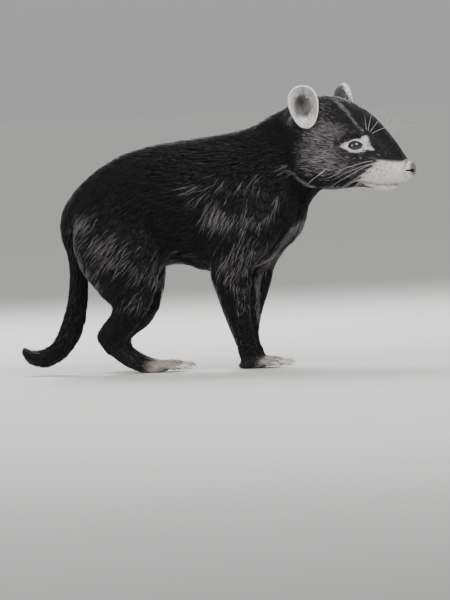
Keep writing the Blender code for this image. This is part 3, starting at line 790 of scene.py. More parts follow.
def scattered(triangles, points, weights, seed):
    """Roots spread over the triangles: which triangle each is in, and its shares of the corners."""
    rng = np.random.default_rng(seed)
    a, b, c = (points[triangles[:, i]] for i in range(3))
    areas = np.linalg.norm(np.cross(b - a, c - a), axis=1) / 2
    wanted = areas * weights
    ends = np.cumsum(wanted)
    count = int(ends[-1])
    places = (np.arange(count) + rng.random(count)) * ends[-1] / count
    chosen = np.minimum(np.searchsorted(ends, places), len(triangles) - 1)
    root = np.sqrt(rng.random(count))
    other = rng.random(count)
    return chosen, np.stack((1 - root, root * (1 - other), root * other), axis=1)


def followed(ground, tree, roots, normals, direction, length, height, steps):
    """Each tuft's middle line, which bends with the surface and with the lie of the coat."""
    rise = 1 - (1 - np.arange(steps + 1) / steps) ** 1.7
    lines = [roots - normals * 0.5 * MM]
    ups, sides = [normals], [np.cross(direction, normals)]
    surface, ahead = roots, direction
    face_lie = ground.lie[ground.triangles].mean(1)
    turn = direction - tangent(face_lie[tree[1]], normals)
    for step in range(1, steps + 1):
        aimed = surface + ahead * (length / steps)[:, None]
        found = [tree[0].find_nearest(point) for point in aimed]
        surface = np.array([hit[0] for hit in found])
        normals = np.array([hit[1] for hit in found])
        faces = np.array([hit[2] for hit in found])
        ahead = tangent(face_lie[faces] + turn, normals)
        lines.append(surface + normals * (height * rise[step])[:, None])
        ups.append(normals)
        sides.append(np.cross(ahead, normals))
    return np.stack(lines), np.stack(ups), np.stack(sides)


def leaders(roots, spacing, seed):
    """For each tuft, the tuft that leads its lock."""
    rng = np.random.default_rng(seed)
    count = len(roots)
    chosen = rng.permutation(count)[: max(1, count // spacing)]
    tree = KDTree(len(chosen))
    for index in chosen:
        tree.insert(roots[index], int(index))
    tree.balance()
    return np.array([tree.find(root)[1] for root in roots])


def clumped(lines, leader, pull):
    """Draws the tufts towards the leader of their lock, more at the tip."""
    steps = len(lines) - 1
    for step in range(1, steps + 1):
        share = (pull * (step / steps) ** 1.3)[:, None]
        lines[step] += share * (lines[step][leader] - lines[step])
    return lines


def unwrapped(points, line):
    """Each point's place on a map of the skin: the turn round a line and the way along it."""
    line = np.array(line)
    steps = line[1:] - line[:-1]
    spans = np.linalg.norm(steps, axis=1)
    starts = np.concatenate(([0], np.cumsum(spans)))
    best = np.full(len(points), np.inf)
    turn, way = np.zeros(len(points)), np.zeros(len(points))
    for index, (start, step, span) in enumerate(zip(line[:-1], steps, spans)):
        ahead = step / span
        t = (points - start) @ ahead / span
        inner = np.clip(t, 0 if index else -1, 1 if index < len(steps) - 1 else 2)
        off = points - start - inner[:, None] * step
        away = np.linalg.norm(off, axis=1)
        side = np.array([0.0, 1.0, 0.0]) - ahead * ahead[1]
        side /= np.linalg.norm(side)
        over = np.cross(ahead, side)
        better = away < best
        best[better] = away[better]
        turn[better] = np.arctan2(off[better] @ side, off[better] @ over)
        way[better] = starts[index] + inner[better] * span
    low, high = way.min(), way.max()
    return np.stack((0.5 + turn / (2 * math.pi), (way - low) / (high - low)), axis=1) * 0.96 + 0.02


# A tuft's patch of the map: its three sides as strips next to one another, and their scale.
TUFT_STRIPS = (-1.5, -0.5, 0.5, 1.5)
TUFT_PATCH = 0.001


def tuft_mesh(name, lines, ups, sides, widths, shape, colours, places):
    """One joined mesh of closed, three-sided tufts that taper to a point."""
    steps = len(lines) - 1
    count = lines.shape[1]
    corners = 3 * steps + 1
    points = np.empty((count, corners, 3))
    for step in range(steps):
        wide = (widths * shape[step])[:, None]
        points[:, 3 * step] = lines[step] + sides[step] * wide / 2
        points[:, 3 * step + 1] = lines[step] + ups[step] * wide * 0.4
        points[:, 3 * step + 2] = lines[step] - sides[step] * wide / 2
    points[:, -1] = lines[-1]
    faces, maps = [], []
    for step in range(steps - 1):
        low, high = step / steps * 3 - 1.5, (step + 1) / steps * 3 - 1.5
        for side in range(3):
            a, b = 3 * step + side, 3 * step + (side + 1) % 3
            faces.append((a, b, b + 3, a + 3))
            left, right = TUFT_STRIPS[side], TUFT_STRIPS[side + 1]
            maps.append(((left, low), (right, low), (right, high), (left, high)))
    low = (steps - 1) / steps * 3 - 1.5
    for side in range(3):
        a, b = 3 * (steps - 1) + side, 3 * (steps - 1) + (side + 1) % 3
        faces.append((a, b, corners - 1))
        left, right = TUFT_STRIPS[side], TUFT_STRIPS[side + 1]
        maps.append(((left, low), (right, low), ((left + right) / 2, 1.5)))
    faces.append((2, 1, 0))
    maps.append(((0.6, -2.0), (0.0, -1.6), (-0.6, -2.0)))
    loops_each = sum(len(face) for face in faces)
    flat = np.array([corner for face in faces for corner in face])
    sizes = np.array([len(face) for face in faces])
    uv = np.array([place for face in maps for place in face]) * TUFT_PATCH
    mesh = bpy.data.meshes.new(name)
    mesh.vertices.add(count * corners)
    mesh.vertices.foreach_set("co", points.astype(np.float32).ravel())
    mesh.loops.add(count * loops_each)
    loops = (np.arange(count) * corners)[:, None] + flat[None]
    mesh.loops.foreach_set("vertex_index", loops.astype(np.int32).ravel())
    mesh.polygons.add(count * len(faces))
    starts = np.concatenate(([0], np.cumsum(sizes)[:-1]))
    all_starts = (np.arange(count) * loops_each)[:, None] + starts[None]
    mesh.polygons.foreach_set("loop_start", all_starts.astype(np.int32).ravel())
    mesh.polygons.foreach_set("loop_total", np.tile(sizes, count).astype(np.int32))
    layer = mesh.uv_layers.new(name="OFBake")
    all_uv = places[:, None] + uv[None]
    layer.data.foreach_set("uv", all_uv.astype(np.float32).ravel())
    mesh.update(calc_edges=True)
    tint = mesh.attributes.new("tint", "FLOAT_COLOR", "POINT")
    tint.data.foreach_set("color", colours.astype(np.float32).ravel())
    return mesh_object(name, mesh)


def tuft_colours(roots, leader, rng, own=None, spots=None):
    """Each tuft's colour, and whether it is one of the pale strands, which are painted sheen and
    rim highlights.
    """
    count = len(roots)
    if own is None:
        colour, share = markings(roots)
    else:
        colour, share = own, np.zeros(count)
    lock = rng.random(count)[leader]
    pale = (LOCK_SHARE * lock + (1 - LOCK_SHARE) * rng.random(count)) < share * MOST_PALE
    on_head = smooth_step(-20, 20, in_head(roots)[:, 0])
    strength = (rng.random(count) * (0.55 + 0.35 * on_head) + 0.1)[:, None]
    highlight_strand = paint("highlight_strand_dark") * (1 - strength) + paint("highlight_strand") * strength
    colour = np.where(pale[:, None], highlight_strand, colour)
    if spots is not None:
        spotted = np.array([spots.find(root)[2] for root in roots]) < SPOT_RADIUS * MM
        colour = np.where(spotted[:, None], paint("spot_and_lip_shade"), colour)
    return colour * (0.75 + 0.5 * rng.random(count))[:, None], pale


def corner_colours(colour, steps):
    """Each tuft darker at its root and lighter at its tip: painted shade deep in the coat, lifting
    towards the tip.
    """
    # Painted shade, darkest at the root.
    root_to_tip_shade = np.append(np.repeat(np.linspace(0.62, 1.0, steps), 3), 1.1)
    corners = np.clip(colour[:, None] * root_to_tip_shade[None, :, None], 0, 0.95)
    return np.concatenate((corners, np.ones((*corners.shape[:2], 1))), axis=2)


# A piece of the coat: the nodes that it covers, its rule for each triangle's place (forward,
# side and up in the head's frame, then side in the table), the line that its map turns round,
# and the seed of its draws.
CoatPiece = namedtuple("CoatPiece", "name regions rule line seed")
# Where the coat of the face ends and that of the crown starts, forward of the skull's base.
FACE_START = 66
HEAD_LINE = [(-20, 5), (60, 5), (110, -14), (170, -32)]
TRUNK_LINE = [(-205, 215), (-120, 215), (0, 225), (90, 255), (150, 295)]


def box_middle(name, share):
    """The middle of a node's box, at a share of its height."""
    low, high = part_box(name)
    middle = (low + high) / 2
    return Vector((middle.x, middle.y, low.z + share * (high.z - low.z)))


def head_line():
    return [head_point(forward, 0, up) for forward, up in HEAD_LINE]


def middle_line(line):
    return [table_point(x, 0, z) for x, z in line]


def leg_line(upper, lower, side):
    upper, lower = f"{upper}_{side}", f"{lower}_{side}"
    return [box_middle(upper, 0.9), box_middle(upper, 0.2), box_middle(lower, 0.2)]


def foot_line(upper, paw, side):
    """Down the leg, then forward through the paw."""
    low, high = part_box(f"{paw}_{side}")
    middle = (low.y + high.y) / 2
    return [
        box_middle(f"{upper}_{side}", 0.8),
        box_middle(f"{upper}_{side}", 0.1),
        Vector((low.x + 0.4 * (high.x - low.x), middle, low.z + 10 * MM)),
        Vector((high.x, middle, low.z + 6 * MM)),
    ]


# The pieces of one side's legs: name, nodes, the rule of the map's line and its two nodes, seed.
LEG_PIECES = (
    ("shoulder", ("upper_arm",), leg_line, "upper_arm", "forearm", 20),
    ("forefoot", ("forearm", "forepaw"), foot_line, "forearm", "forepaw", 24),
    ("thigh", ("thigh",), leg_line, "thigh", "shank", 28),
    ("hindfoot", ("shank", "hindpaw"), foot_line, "shank", "hindpaw", 32),
)


def leg_pieces(side, mirror):
    """Four pieces for the legs of one side."""
    for name, covered, line_of, upper, lower, seed in LEG_PIECES:
        regions = tuple(f"{region}_{side}" for region in covered)
        line = line_of(upper, lower, side)
        yield CoatPiece(f"coat_{name}_{side}", regions, None, line, seed + mirror)


def coat_pieces():
    """All the pieces that grow on the skin, with those of the head and flanks parted by side."""
    trunk = middle_line(TRUNK_LINE)
    pieces = [
        CoatPiece("coat_neck", ("neck",), None, trunk, 8),
        CoatPiece("coat_tail", ("tail",), None, middle_line(TAIL_LINE), 9),
    ]
    for side, mirror in SIDES.items():

        def on_face(place, m=mirror):
            return (place[:, 0] >= FACE_START) & (m * place[:, 1] > 0)

        def on_crown(place, m=mirror):
            return (place[:, 0] < FACE_START) & (m * place[:, 1] > 0)

        def on_flank(place, m=mirror):
            return m * place[:, 3] > 0

        pieces += [
            CoatPiece(f"coat_face_{side}", ("head", "nose"), on_face, head_line(), 11 + mirror),
            CoatPiece(f"coat_crown_{side}", ("head",), on_crown, head_line(), 40 + mirror),
            CoatPiece(f"coat_flank_{side}", ("torso",), on_flank, trunk, 15 + mirror),
            *leg_pieces(side, mirror),
        ]
    return pieces


def ground_of(skin):
    """What the coat's tufts are grown from, read off the skin."""
    points, _ = mesh_arrays(skin.data)
    triangles = triangles_of(skin.data)
    length, width, density = read(skin.data, "coat").T
    return Ground(
        points,
        normals_of(points, triangles),
        triangles,
        read(skin.data, "lie"),
        length,
        read(skin.data, "depth")[:, 0],
        width,
        density,
    )


# A tuft's width along it, as shares, for its number of steps.
TUFT_SHAPES = {2: (0.75, 1.0), 3: (0.7, 1.0, 0.72)}
LOCK_SIZE = 9
# How far a tuft turns aside by chance, and how far dark and pale tufts are drawn to their lock.
SWAY = 0.14
DARK_PULL = 0.4
PALE_PULL = 0.2
# Pale strands, the painted sheen and rim highlights, stand closer, and are longer and thinner.
PALE_DENSER = 0.6
PALE_LONGER = 0.7
PALE_THINNER = 0.48
SPOT_RADIUS = 1.25
# How much of a tuft's draw comes from its lock, and the highest share of pale tufts.
LOCK_SHARE = 0.3
MOST_PALE = 0.85


def grow(piece, ground, tree, chosen, steps, finish, bare=None, tints=None, spots=None):
    """Grows one piece of the coat on the chosen triangles of the ground."""
    rng = np.random.default_rng(piece.seed)
    triangles = ground.triangles[chosen]
    density = bpy.context.scene.devil_sizes.coat_density
    weights = ground.density[triangles].mean(1) * 1e4 * density
    if tints is None:
        _, share = markings(ground.points[triangles].mean(1))
        weights = weights * (1 + PALE_DENSER * share)
    if bare is not None:
        weights = weights * (1 - bare[triangles].mean(1))
    within, shares = scattered(triangles, ground.points, weights, piece.seed)

    def at(values):
        corners = values[triangles[within]]
        if values.ndim == 1:
            return (corners * shares).sum(1)
        return (corners * shares[:, :, None]).sum(1)

    roots = at(ground.points)
    normals = unit_rows(at(ground.normals))
    ahead = tangent(at(ground.lie), normals)
    count = len(roots)
    sway = np.cross(normals, ahead)
    ahead = tangent(ahead + sway * rng.normal(0, SWAY, count)[:, None], normals)
    leader = leaders(roots, LOCK_SIZE, piece.seed + 100)
    own = None if tints is None else at(tints)
    colour, pale = tuft_colours(roots, leader, rng, own, spots)
    length = at(ground.length) * (0.7 + 0.6 * rng.random(count)) * (1 + PALE_LONGER * pale) * MM
    height = at(ground.height) * (0.45 + 0.65 * rng.random(count) + 0.15 * pale) * MM
    width = at(ground.width) * (0.7 + 0.5 * rng.random(count)) * (1 - PALE_THINNER * pale) * MM
    lines, ups, sides = followed(
        ground, (tree, chosen[within]), roots, normals, ahead, length, height, steps
    )
    lines = clumped(lines, leader, np.where(pale, PALE_PULL, DARK_PULL))
    places = unwrapped(roots, [tuple(p) for p in piece.line])
    colours = corner_colours(colour, steps)
    made = tuft_mesh(piece.name, lines, ups, sides, width, TUFT_SHAPES[steps], colours, places)
    return finish_piece(made, finish)


def grow_on(shape, piece, lie, sizes, tints=None):
    """Grows short hair on a shape; sizes are the tufts' length, height, width and number a cm2."""
    points, _ = mesh_arrays(shape.data)
    triangles = triangles_of(shape.data)
    sizes = [np.broadcast_to(size, len(points)).astype(float) for size in sizes]
    ground = Ground(points, normals_of(points, triangles), triangles, lie, *sizes)
    every = np.arange(len(triangles))
    finish = finish_of("hair_guard_coat")
    return grow(piece, ground, tree_of(points, triangles), every, 2, finish, tints=tints)


# The skin is bare forward of this on the head, this near to the eye's middle, and on the soles,
# which face down and are this low.
NOSE_BARE_START = 158.5
NOSE_LOWEST = 200
EYE_BARE_REACH = 9.5
SOLE_FACING = -0.6
SOLE_HEIGHT = 9


def bare_skin(ground):
    """Where no tuft grows: the lids' opening, the nose's pad and the soles."""
    head = in_head(ground.points)
    table = in_table(ground.points)
    bare = (head[:, 0] > NOSE_BARE_START) & (table[:, 2] > NOSE_LOWEST)
    for side in SIDES:
        local = in_place(ground.points, eye_place(side))
        bare |= (np.linalg.norm(local[:, :2], axis=1) < EYE_BARE_REACH) & (local[:, 2] > 0)
    bare |= (ground.normals[:, 2] < SOLE_FACING) & (table[:, 2] < SOLE_HEIGHT)
    return bare.astype(float)


def whisker_spots(skin):
    """A tree of the places where whiskers stand, to darken the hair round each."""
    paths = whisker_paths(skin_tree(skin))
    spots = KDTree(len(paths))
    for index, path in enumerate(paths):
        spots.insert(path[0], index)
    spots.balance()
    return spots


def make_coat(skin):
    """Grows every piece of the coat on the skin."""
    ground = ground_of(skin)
    spots = whisker_spots(skin)
    tree = tree_of(ground.points, ground.triangles)
    names = flesh_names()
    owners = read(skin.data, "owner")[:, 0].astype(int)[ground.triangles[:, 0]]
    middles = ground.points[ground.triangles].mean(1)
    places = np.column_stack((in_head(middles), in_table(middles)[:, 1]))
    bare = bare_skin(ground)
    finish = finish_of("hair_guard_coat")
    for piece in coat_pieces():
        members = [i for i, name in enumerate(names) if name.startswith(piece.regions)]
        chosen = np.isin(owners, members)
        if piece.rule is not None:
            chosen &= piece.rule(places)
        steps = COATS[region_of(names[members[0]])].steps
        chosen = np.flatnonzero(chosen)
        near = spots if piece.name.startswith("coat_face") else None
        grow(piece, ground, tree, chosen, steps, finish, bare, spots=near)


# Materials


# A finish's colour is the tint stored on its piece, or two tones of one paint: its name and how
# dark the darker tone is. Its grain is a texture: kind, settings, sockets, and the output used.
# The grain turns the tint darker and lighter by shade, or makes bumps: strength and height.
Finish = namedtuple("Finish", "shader grain tones shade bump", defaults=(None,) * 4)
Grain = namedtuple("Grain", "kind settings sockets output")
NOISE = "ShaderNodeTexNoise"
CELLS = "ShaderNodeTexVoronoi"

FINISHES = {
    # Grown hair: a dark, slightly oiled fibre whose edge catches the light.
    "hair_guard_coat": Finish(
        {"Roughness": 0.45, "IOR": 1.55, "Specular IOR Level": 0.35},
        Grain(NOISE, {}, {"Scale": 900.0}, "Fac"),
        shade=(0.75, 1.25),
    ),
    # Living skin under the coat: matt and finely wrinkled, coloured as the coat over it.
    "skin_bare_wrinkled": Finish(
        {"Roughness": 0.62},
        Grain(CELLS, {"feature": "DISTANCE_TO_EDGE"}, {"Scale": 700.0}, "Distance"),
        bump=(0.35, 0.4),
    ),
    # Thin ear skin with a fine nap, and hair-fine creases.
    "skin_ear_thin": Finish(
        {"Roughness": 0.6},
        Grain(NOISE, {}, {"Scale": 1400.0, "Detail": 4.0}, "Fac"),
        bump=(0.5, 0.4),
    ),
    # Moist bare nose leather: close round papillae with a wet shine between them.
    "nose_leather_moist": Finish(
        {"Roughness": 0.38, "Coat Weight": 0.25, "Coat Roughness": 0.2},
        Grain(CELLS, {"feature": "F1"}, {"Scale": 1100.0}, "Distance"),
        bump=(0.6, -0.5),
    ),
    # Horn worn by digging: pale and streaked, with a dull shine.
    "claw_horn_worn": Finish(
        {"Roughness": 0.4}, Grain(NOISE, {}, {"Scale": 500.0, "Detail": 3.0}, "Fac"), ("claw", 0.6)
    ),
    # The wet front of a living eye over a dark brown iris.
    "eye_wet_cornea": Finish({"Roughness": 0.12, "Coat Weight": 1.0, "Coat Roughness": 0.02}),
    # Stiff bristle: pale, smooth and a little glossy.
    "whisker_bristle_pale": Finish(
        {"Roughness": 0.35}, Grain(NOISE, {}, {"Scale": 60.0}, "Fac"), ("whisker", 0.6)
    ),
    # Matt studio paint: pale, with the faint mottle of a roller.
    "floor_matt_paint": Finish(
        {"Roughness": 0.9}, Grain(NOISE, {}, {"Scale": 30.0}, "Fac"), ("floor", 0.97)
    ),
}


def add_node(tree, kind, settings=None, **links):
    """A node with its settings and the sockets that feed it, or plain values."""
    node = tree.nodes.new(kind)
    for key, value in (settings or {}).items():
        setattr(node, key, value)
    for key, value in links.items():
        numbered = key[0] == "i" and key[1:].isdigit()
        socket = node.inputs[int(key[1:])] if numbered else node.inputs[key]
        if isinstance(value, bpy.types.NodeSocket):
            tree.links.new(value, socket)
        else:
            socket.default_value = value
    return node


def finish_of(name):
    """A material by its name, built the first time that it is asked for."""
    return bpy.data.materials.get(name) or build_finish(name, FINISHES[name])


def build_finish(name, finish):
    """A material from its row: its shader's values, then its grain, tint, shade and bump."""
    made = bpy.data.materials.new(name)
    made.use_nodes = True
    tree = made.node_tree
    shader = tree.nodes["Principled BSDF"]
    for key, value in finish.shader.items():
        shader.inputs[key].default_value = value
    if finish.grain:
        place = add_node(tree, "ShaderNodeTexCoord").outputs["Object"]
        kind, settings, sockets, output = finish.grain
        grain = add_node(tree, kind, settings, Vector=place, **sockets).outputs[output]
    if finish.tones:
        key, dark = finish.tones
        tones = {"i6": (*paint(key) * dark, 1), "i7": (*paint(key), 1)}
        tint = add_node(tree, "ShaderNodeMix", {"data_type": "RGBA"}, i0=grain, **tones).outputs[2]
    else:
        tint = add_node(tree, "ShaderNodeAttribute", {"attribute_name": "tint"}).outputs["Color"]
    if finish.shade:
        low, high = finish.shade
        tone = add_node(tree, "ShaderNodeMapRange", None, Value=grain, i3=low, i4=high)
        scale = tone.outputs["Result"]
        scaled = add_node(
            tree, "ShaderNodeVectorMath", {"operation": "SCALE"}, Vector=tint, Scale=scale
        )
        tint = scaled.outputs["Vector"]
    tree.links.new(tint, shader.inputs["Base Color"])
    if finish.bump:
        strength, height = finish.bump
        bump = add_node(
            tree, "ShaderNodeBump", {"invert": height < 0}, Height=grain,
            Strength=strength, Distance=abs(height) * MM,
        )
        tree.links.new(bump.outputs["Normal"], shader.inputs["Normal"])
    return made


# Eyes and lids


# Where the pupil gives way to the iris and the iris to its dark edge, in degrees on the ball.
PUPIL_EDGE = (17, 20)
IRIS_EDGE = (36, 40)


def make_eyes():
    """Each eye as a ball larger than its solid, set back so that its front stays in place."""
    for side in SIDES:
        mesh = bmesh.new()
        bmesh.ops.create_uvsphere(mesh, u_segments=48, v_segments=32, radius=BALL_RADIUS * MM)
        data = bpy.data.meshes.new(f"eye_{side}_ball")
        mesh.to_mesh(data)
        mesh.free()
        data.transform(eye_place(side) @ Matrix.Translation((0, 0, -BALL_INSET * MM)))
        ball = mesh_object(f"eye_{side}_ball", data)
        axis = np.array(eye_place(side).to_3x3().col[2])
        points, _ = mesh_arrays(data)
        centre = np.array(eye_place(side).translation) - axis * BALL_INSET * MM
        level = (points - centre) @ axis / (BALL_RADIUS * MM)
        turned = np.degrees(np.arccos(np.clip(level, -1, 1)))
        iris = smooth_step(*PUPIL_EDGE, turned) * (1 - smooth_step(*IRIS_EDGE, turned))
        store(data, "tint", with_alpha(mixed(paint("pupil"), "iris", iris)))
        finish_piece(ball, finish_of("eye_wet_cornea"), [f"eye_{side}"])


def lofted(name, rings, close_start=True, close_end=True):
    """A surface through rings of equally many points, closed at its ends where that is asked."""
    count = len(rings[0])
    points = [point for ring in rings for point in ring]
    faces = []
    for ring in range(len(rings) - 1):
        for i in range(count):
            a, b = ring * count + i, ring * count + (i + 1) % count
            faces.append((a, b, b + count, a + count))
    for wanted, first in ((close_start, 0), (close_end, (len(rings) - 1) * count)):
        if wanted:
            middle = np.mean(points[first : first + count], axis=0)
            points.append(middle)
            top = len(points) - 1
            for i in range(count):
                a, b = first + i, first + (i + 1) % count
                faces.append((b, a, top) if first == 0 else (a, b, top))
    return faced_outward(mesh_from(name, points, faces))


LID_SIDES = 72
# Tufts a square centimetre on the lids and behind the nose's pad.
SHORT_HAIRS = 230.0
# The lids' hair: how far out from the bare edge the last tufts stand, the length for the way
# out, the height and width, and how much the lie goes back over the head.
LID_HAIR_END = 7
LID_HAIR_LENGTH = ([0, 7], [1.6, 3.6])
LID_HAIR_HEIGHT = 0.8
LID_HAIR_WIDTH = 0.38
LID_HAIR_BACK = 0.8
# The opening is flatter towards its corners. Its front corner runs on and hangs lower.
LID_FLATTENED = 0.34
CORNER_SHARPNESS = 6
CORNER_LONGER = 1.2
CORNER_LOWER = 1.1
# The upper lid's crease: how far out it lies, its half width and its depth.
LID_CREASE = (2.8, 0.9, 0.7)
# The lids curve a little more than the ball.
LID_CURVE = 1.12
# How far out the lids' dark bare edge reaches, below and how much further above, and its fade.
LID_BARE = 1.1
LID_BARE_ABOVE = 1.2
LID_BARE_FADE = 0.6
# For each ring of a lid: how far out from the opening it lies, its height over the ball, and
# how far it has sunk to the skin.
LID_RINGS = [
    (-0.9, -1.2, 0.0), (-0.5, -0.2, 0.0), (-0.1, 0.5, 0.0), (0.4, 1.0, 0.0), (1.1, 1.2, 0.0),
    (1.9, 1.15, 0.06), (2.8, 0.7, 0.15), (3.7, 0.9, 0.3), (5.0, 0.9, 0.55), (6.6, 0.6, 0.8),
    (8.4, 0.2, 0.95), (10.5, -0.3, 1.0), (13.0, -1.3, 1.0),
]


def lid_points(side, tree):
    """The rings of one eye's lids, from inside the opening out to the skin."""
    place = eye_place(side)
    to_front = -SIDES[side]
    turns = np.linspace(0, 2 * math.pi, LID_SIDES, endpoint=False)
    rings = []
    for out, over, sunk in LID_RINGS:
        ring = []
        for t in turns:
            c, h = math.cos(t), math.sin(t)
            corner = abs(c) ** CORNER_SHARPNESS * (c > 0)
            x = (LID_OPENING[0] + out + CORNER_LONGER * corner) * c
            y = (LID_OPENING[1] * (1 - LID_FLATTENED * c * c) + out) * h - CORNER_LOWER * corner
            reach = math.hypot(x, y)
            ball = BALL_RADIUS - BALL_INSET - reach**2 / (2 * BALL_RADIUS) * LID_CURVE
            middle, half, deep = LID_CREASE
            crease = deep * math.exp(-(((out - middle) / half) ** 2)) * max(0.0, h)
            z = ball + over - crease
            start = place @ (Vector((to_front * x, y, 25)) * MM)
            aim = -(place.to_3x3() @ Vector((0, 0, 1)))
            hit = tree.ray_cast(start, aim)[0]
            level = (place.inverted() @ hit).z / MM if hit is not None else z
            z = z * (1 - sunk) + (level + over) * sunk
            ring.append(place @ (Vector((to_front * x, y, z)) * MM))
        rings.append(ring)
    return rings


def make_lids(tree):
    """Both lids of each eye as one rim, with a crease over it, that runs out under the coat."""
    made = []
    for side in SIDES:
        rings = lid_points(side, tree)
        lids = lofted(f"lids_{side}", rings, False, False)
        points, _ = mesh_arrays(lids.data)
        outward = np.array(eye_place(side).to_3x3().col[2])
        if (corner_normals(lids.data) @ outward).mean() < 0:
            lids.data.flip_normals()
        out = np.repeat([ring[0] for ring in LID_RINGS], LID_SIDES)
        turns = np.tile(np.linspace(0, 2 * math.pi, LID_SIDES, endpoint=False), len(LID_RINGS))
        bare = LID_BARE + LID_BARE_ABOVE * np.clip(np.sin(turns), 0, 1)
        colour, _ = markings(points)
        edge = 1 - smooth_step(bare, bare + LID_BARE_FADE, out)
        store(lids.data, "tint", with_alpha(mixed(colour, "lid", edge)))
        store(lids.data, "out", out - bare)
        made.append(finish_piece(lids, finish_of("skin_bare_wrinkled")))
    return made


def lid_coat(lids, side):
    """Short hair that fans out from the opening of the lids."""
    points, _ = mesh_arrays(lids.data)
    out = read(lids.data, "out")[:, 0]
    back = np.array(head_place().to_3x3() @ Vector((-1, 0, -0.1)))
    local = in_place(points, eye_place(side))
    radial = unit_rows(local * (1, 1.3, 0)) @ np.array(eye_place(side).to_3x3()).T
    density = np.where(out < 0, 0.0, SHORT_HAIRS) * (out < LID_HAIR_END)
    sizes = (np.interp(out, *LID_HAIR_LENGTH), LID_HAIR_HEIGHT, LID_HAIR_WIDTH, density)
    piece = CoatPiece(f"coat_lids_{side}", (), None, head_line(), 60 + SIDES[side])
    return grow_on(lids, piece, unit_rows(radial + LID_HAIR_BACK * back), sizes)


# Nose

# The pad's root under the muzzle: a copy of its solid at this scale and this far back.
NOSE_ROOT_SCALE = 0.9
NOSE_ROOT_BACK = 5
NOSE_MESH = 0.55
NOSE_ROUNDS = 8
# The slit down the middle of the pad: half width, depth, and where it starts and is full.
NOSE_SLIT_WIDTH = 0.9
NOSE_SLIT_DEPTH = 0.9
NOSE_SLIT_FRONT = 156
NOSE_SLIT_UP = (-25, -33)
# The pad's rear is sunk into the muzzle by this much, and more at its top.
NOSE_SUNK = 1.15
NOSE_SUNK_AHEAD = (163, 157)
NOSE_TOP_SUNK = 0.9
NOSE_TOP_UP = (-26, -21)
# The dark rim round the pad, and where the white hair takes over behind it.
NOSE_MIDDLE_UP = -31
NOSE_RIM_RADIUS = (8.5, 11.5)
NOSE_BEHIND_AHEAD = (164, 161)
NOSE_BEHIND_RADIUS = (12.5, 14)
# A nostril and the slit at its outer side, painted dark as the shade of openings that the pad does
# not have: middle and half sizes, forward, side and up.
NOSTRILS = [((168, 5.6, -33.5), (6.0, 3.0, 2.8)), ((165, 9.2, -33), (6.5, 4.4, 1.5))]
NOSTRIL_EDGE = (0.7, 1.15)


def make_nose():
    """The bare pad of the nose, refined from its solid and carried back under the muzzle."""
    joined = bmesh.new()
    joined.from_mesh(NODES["nose"].data)
    bmesh.ops.remove_doubles(joined, verts=joined.verts, dist=1e-6)
    root = bpy.data.meshes.new("nose_root")
    joined.to_mesh(root)
    low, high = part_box("nose")
    centre = (low + high) / 2
    back = head_place().to_3x3() @ Vector((-NOSE_ROOT_BACK, 0, 0)) * MM
    smaller = Matrix.Scale(NOSE_ROOT_SCALE, 4) @ Matrix.Translation(-centre)
    root.transform(Matrix.Translation(centre + back) @ smaller)
    joined.from_mesh(root)
    bpy.data.meshes.remove(root)
    mesh = bpy.data.meshes.new("nose_pad")
    joined.to_mesh(mesh)
    joined.free()
    nose = mesh_object("nose_pad", mesh)
    cover = nose.modifiers.new("cover", "REMESH")
    cover.mode = "VOXEL"
    cover.voxel_size = NOSE_MESH * MM
    soften = nose.modifiers.new("soften", "SMOOTH")
    soften.factor = 0.5
    soften.iterations = NOSE_ROUNDS
    applied(nose)
    points, _ = mesh_arrays(nose.data)
    forward, side, up = in_head(points).T
    slit = np.exp(-((side / NOSE_SLIT_WIDTH) ** 2)) * (forward > NOSE_SLIT_FRONT)
    slit = slit * smooth_step(*NOSE_SLIT_UP, up)
    top = 1 + NOSE_TOP_SUNK * smooth_step(*NOSE_TOP_UP, up)
    rear = smooth_step(*NOSE_SUNK_AHEAD, forward) * top
    sunk = (NOSE_SLIT_DEPTH * slit + NOSE_SUNK * rear) * MM
    points -= corner_normals(nose.data) * sunk[:, None]
    nose.data.vertices.foreach_set("co", points.ravel())
    nostril_shade = nostril_shade_share(forward, side, up)
    radius = np.hypot(side, up - NOSE_MIDDLE_UP)
    colour = mixed(paint("nose"), "nose_rim", smooth_step(*NOSE_RIM_RADIUS, radius))
    behind = smooth_step(*NOSE_BEHIND_AHEAD, forward)
    behind = np.maximum(behind, smooth_step(*NOSE_BEHIND_RADIUS, radius))
    colour = colour * (1 - behind[:, None]) + paint("white") * 0.8 * behind[:, None]
    store(nose.data, "behind", behind)
    # The nostrils are painted shade.
    store(nose.data, "tint", with_alpha(mixed(colour, "lid", nostril_shade)))
    return finish_piece(nose, finish_of("nose_leather_moist"), ["nose"])


# The hair behind the pad: its length, height and width, how far forward it starts, and how
# much it rises from the skin.
NOSE_HAIR = (3.2, 0.5, 0.4)
NOSE_HAIR_START = 154.5
NOSE_HAIR_RISE = 0.3


def nose_coat(nose):
    """The muzzle's shortest hair, which runs on over the edge of the pad."""
    points, _ = mesh_arrays(nose.data)
    behind = read(nose.data, "behind")[:, 0] * (in_head(points)[:, 0] > NOSE_HAIR_START)
    back = np.array(head_place().to_3x3() @ Vector((-1, 0, 0)))
    lie = unit_rows(back + NOSE_HAIR_RISE * normals_of(points, triangles_of(nose.data)))
    piece = CoatPiece("coat_nose", (), None, head_line(), 64)
    tints = np.tile(paint("white"), (len(points), 1))
    sizes = (*NOSE_HAIR, SHORT_HAIRS * (behind > 0.5))
    return grow_on(nose, piece, lie, sizes, tints=tints)


def nostril_shade_share(forward, side, up):
    """Painted shade in the nostrils and in the slits at their outer sides."""
    place = np.stack((forward, np.abs(side), up), axis=1)
    away = [(((place - middle) / np.array(half)) ** 2).sum(axis=1) for middle, half in NOSTRILS]
    return 1 - smooth_step(*NOSTRIL_EDGE, np.minimum(*away))


# Claws

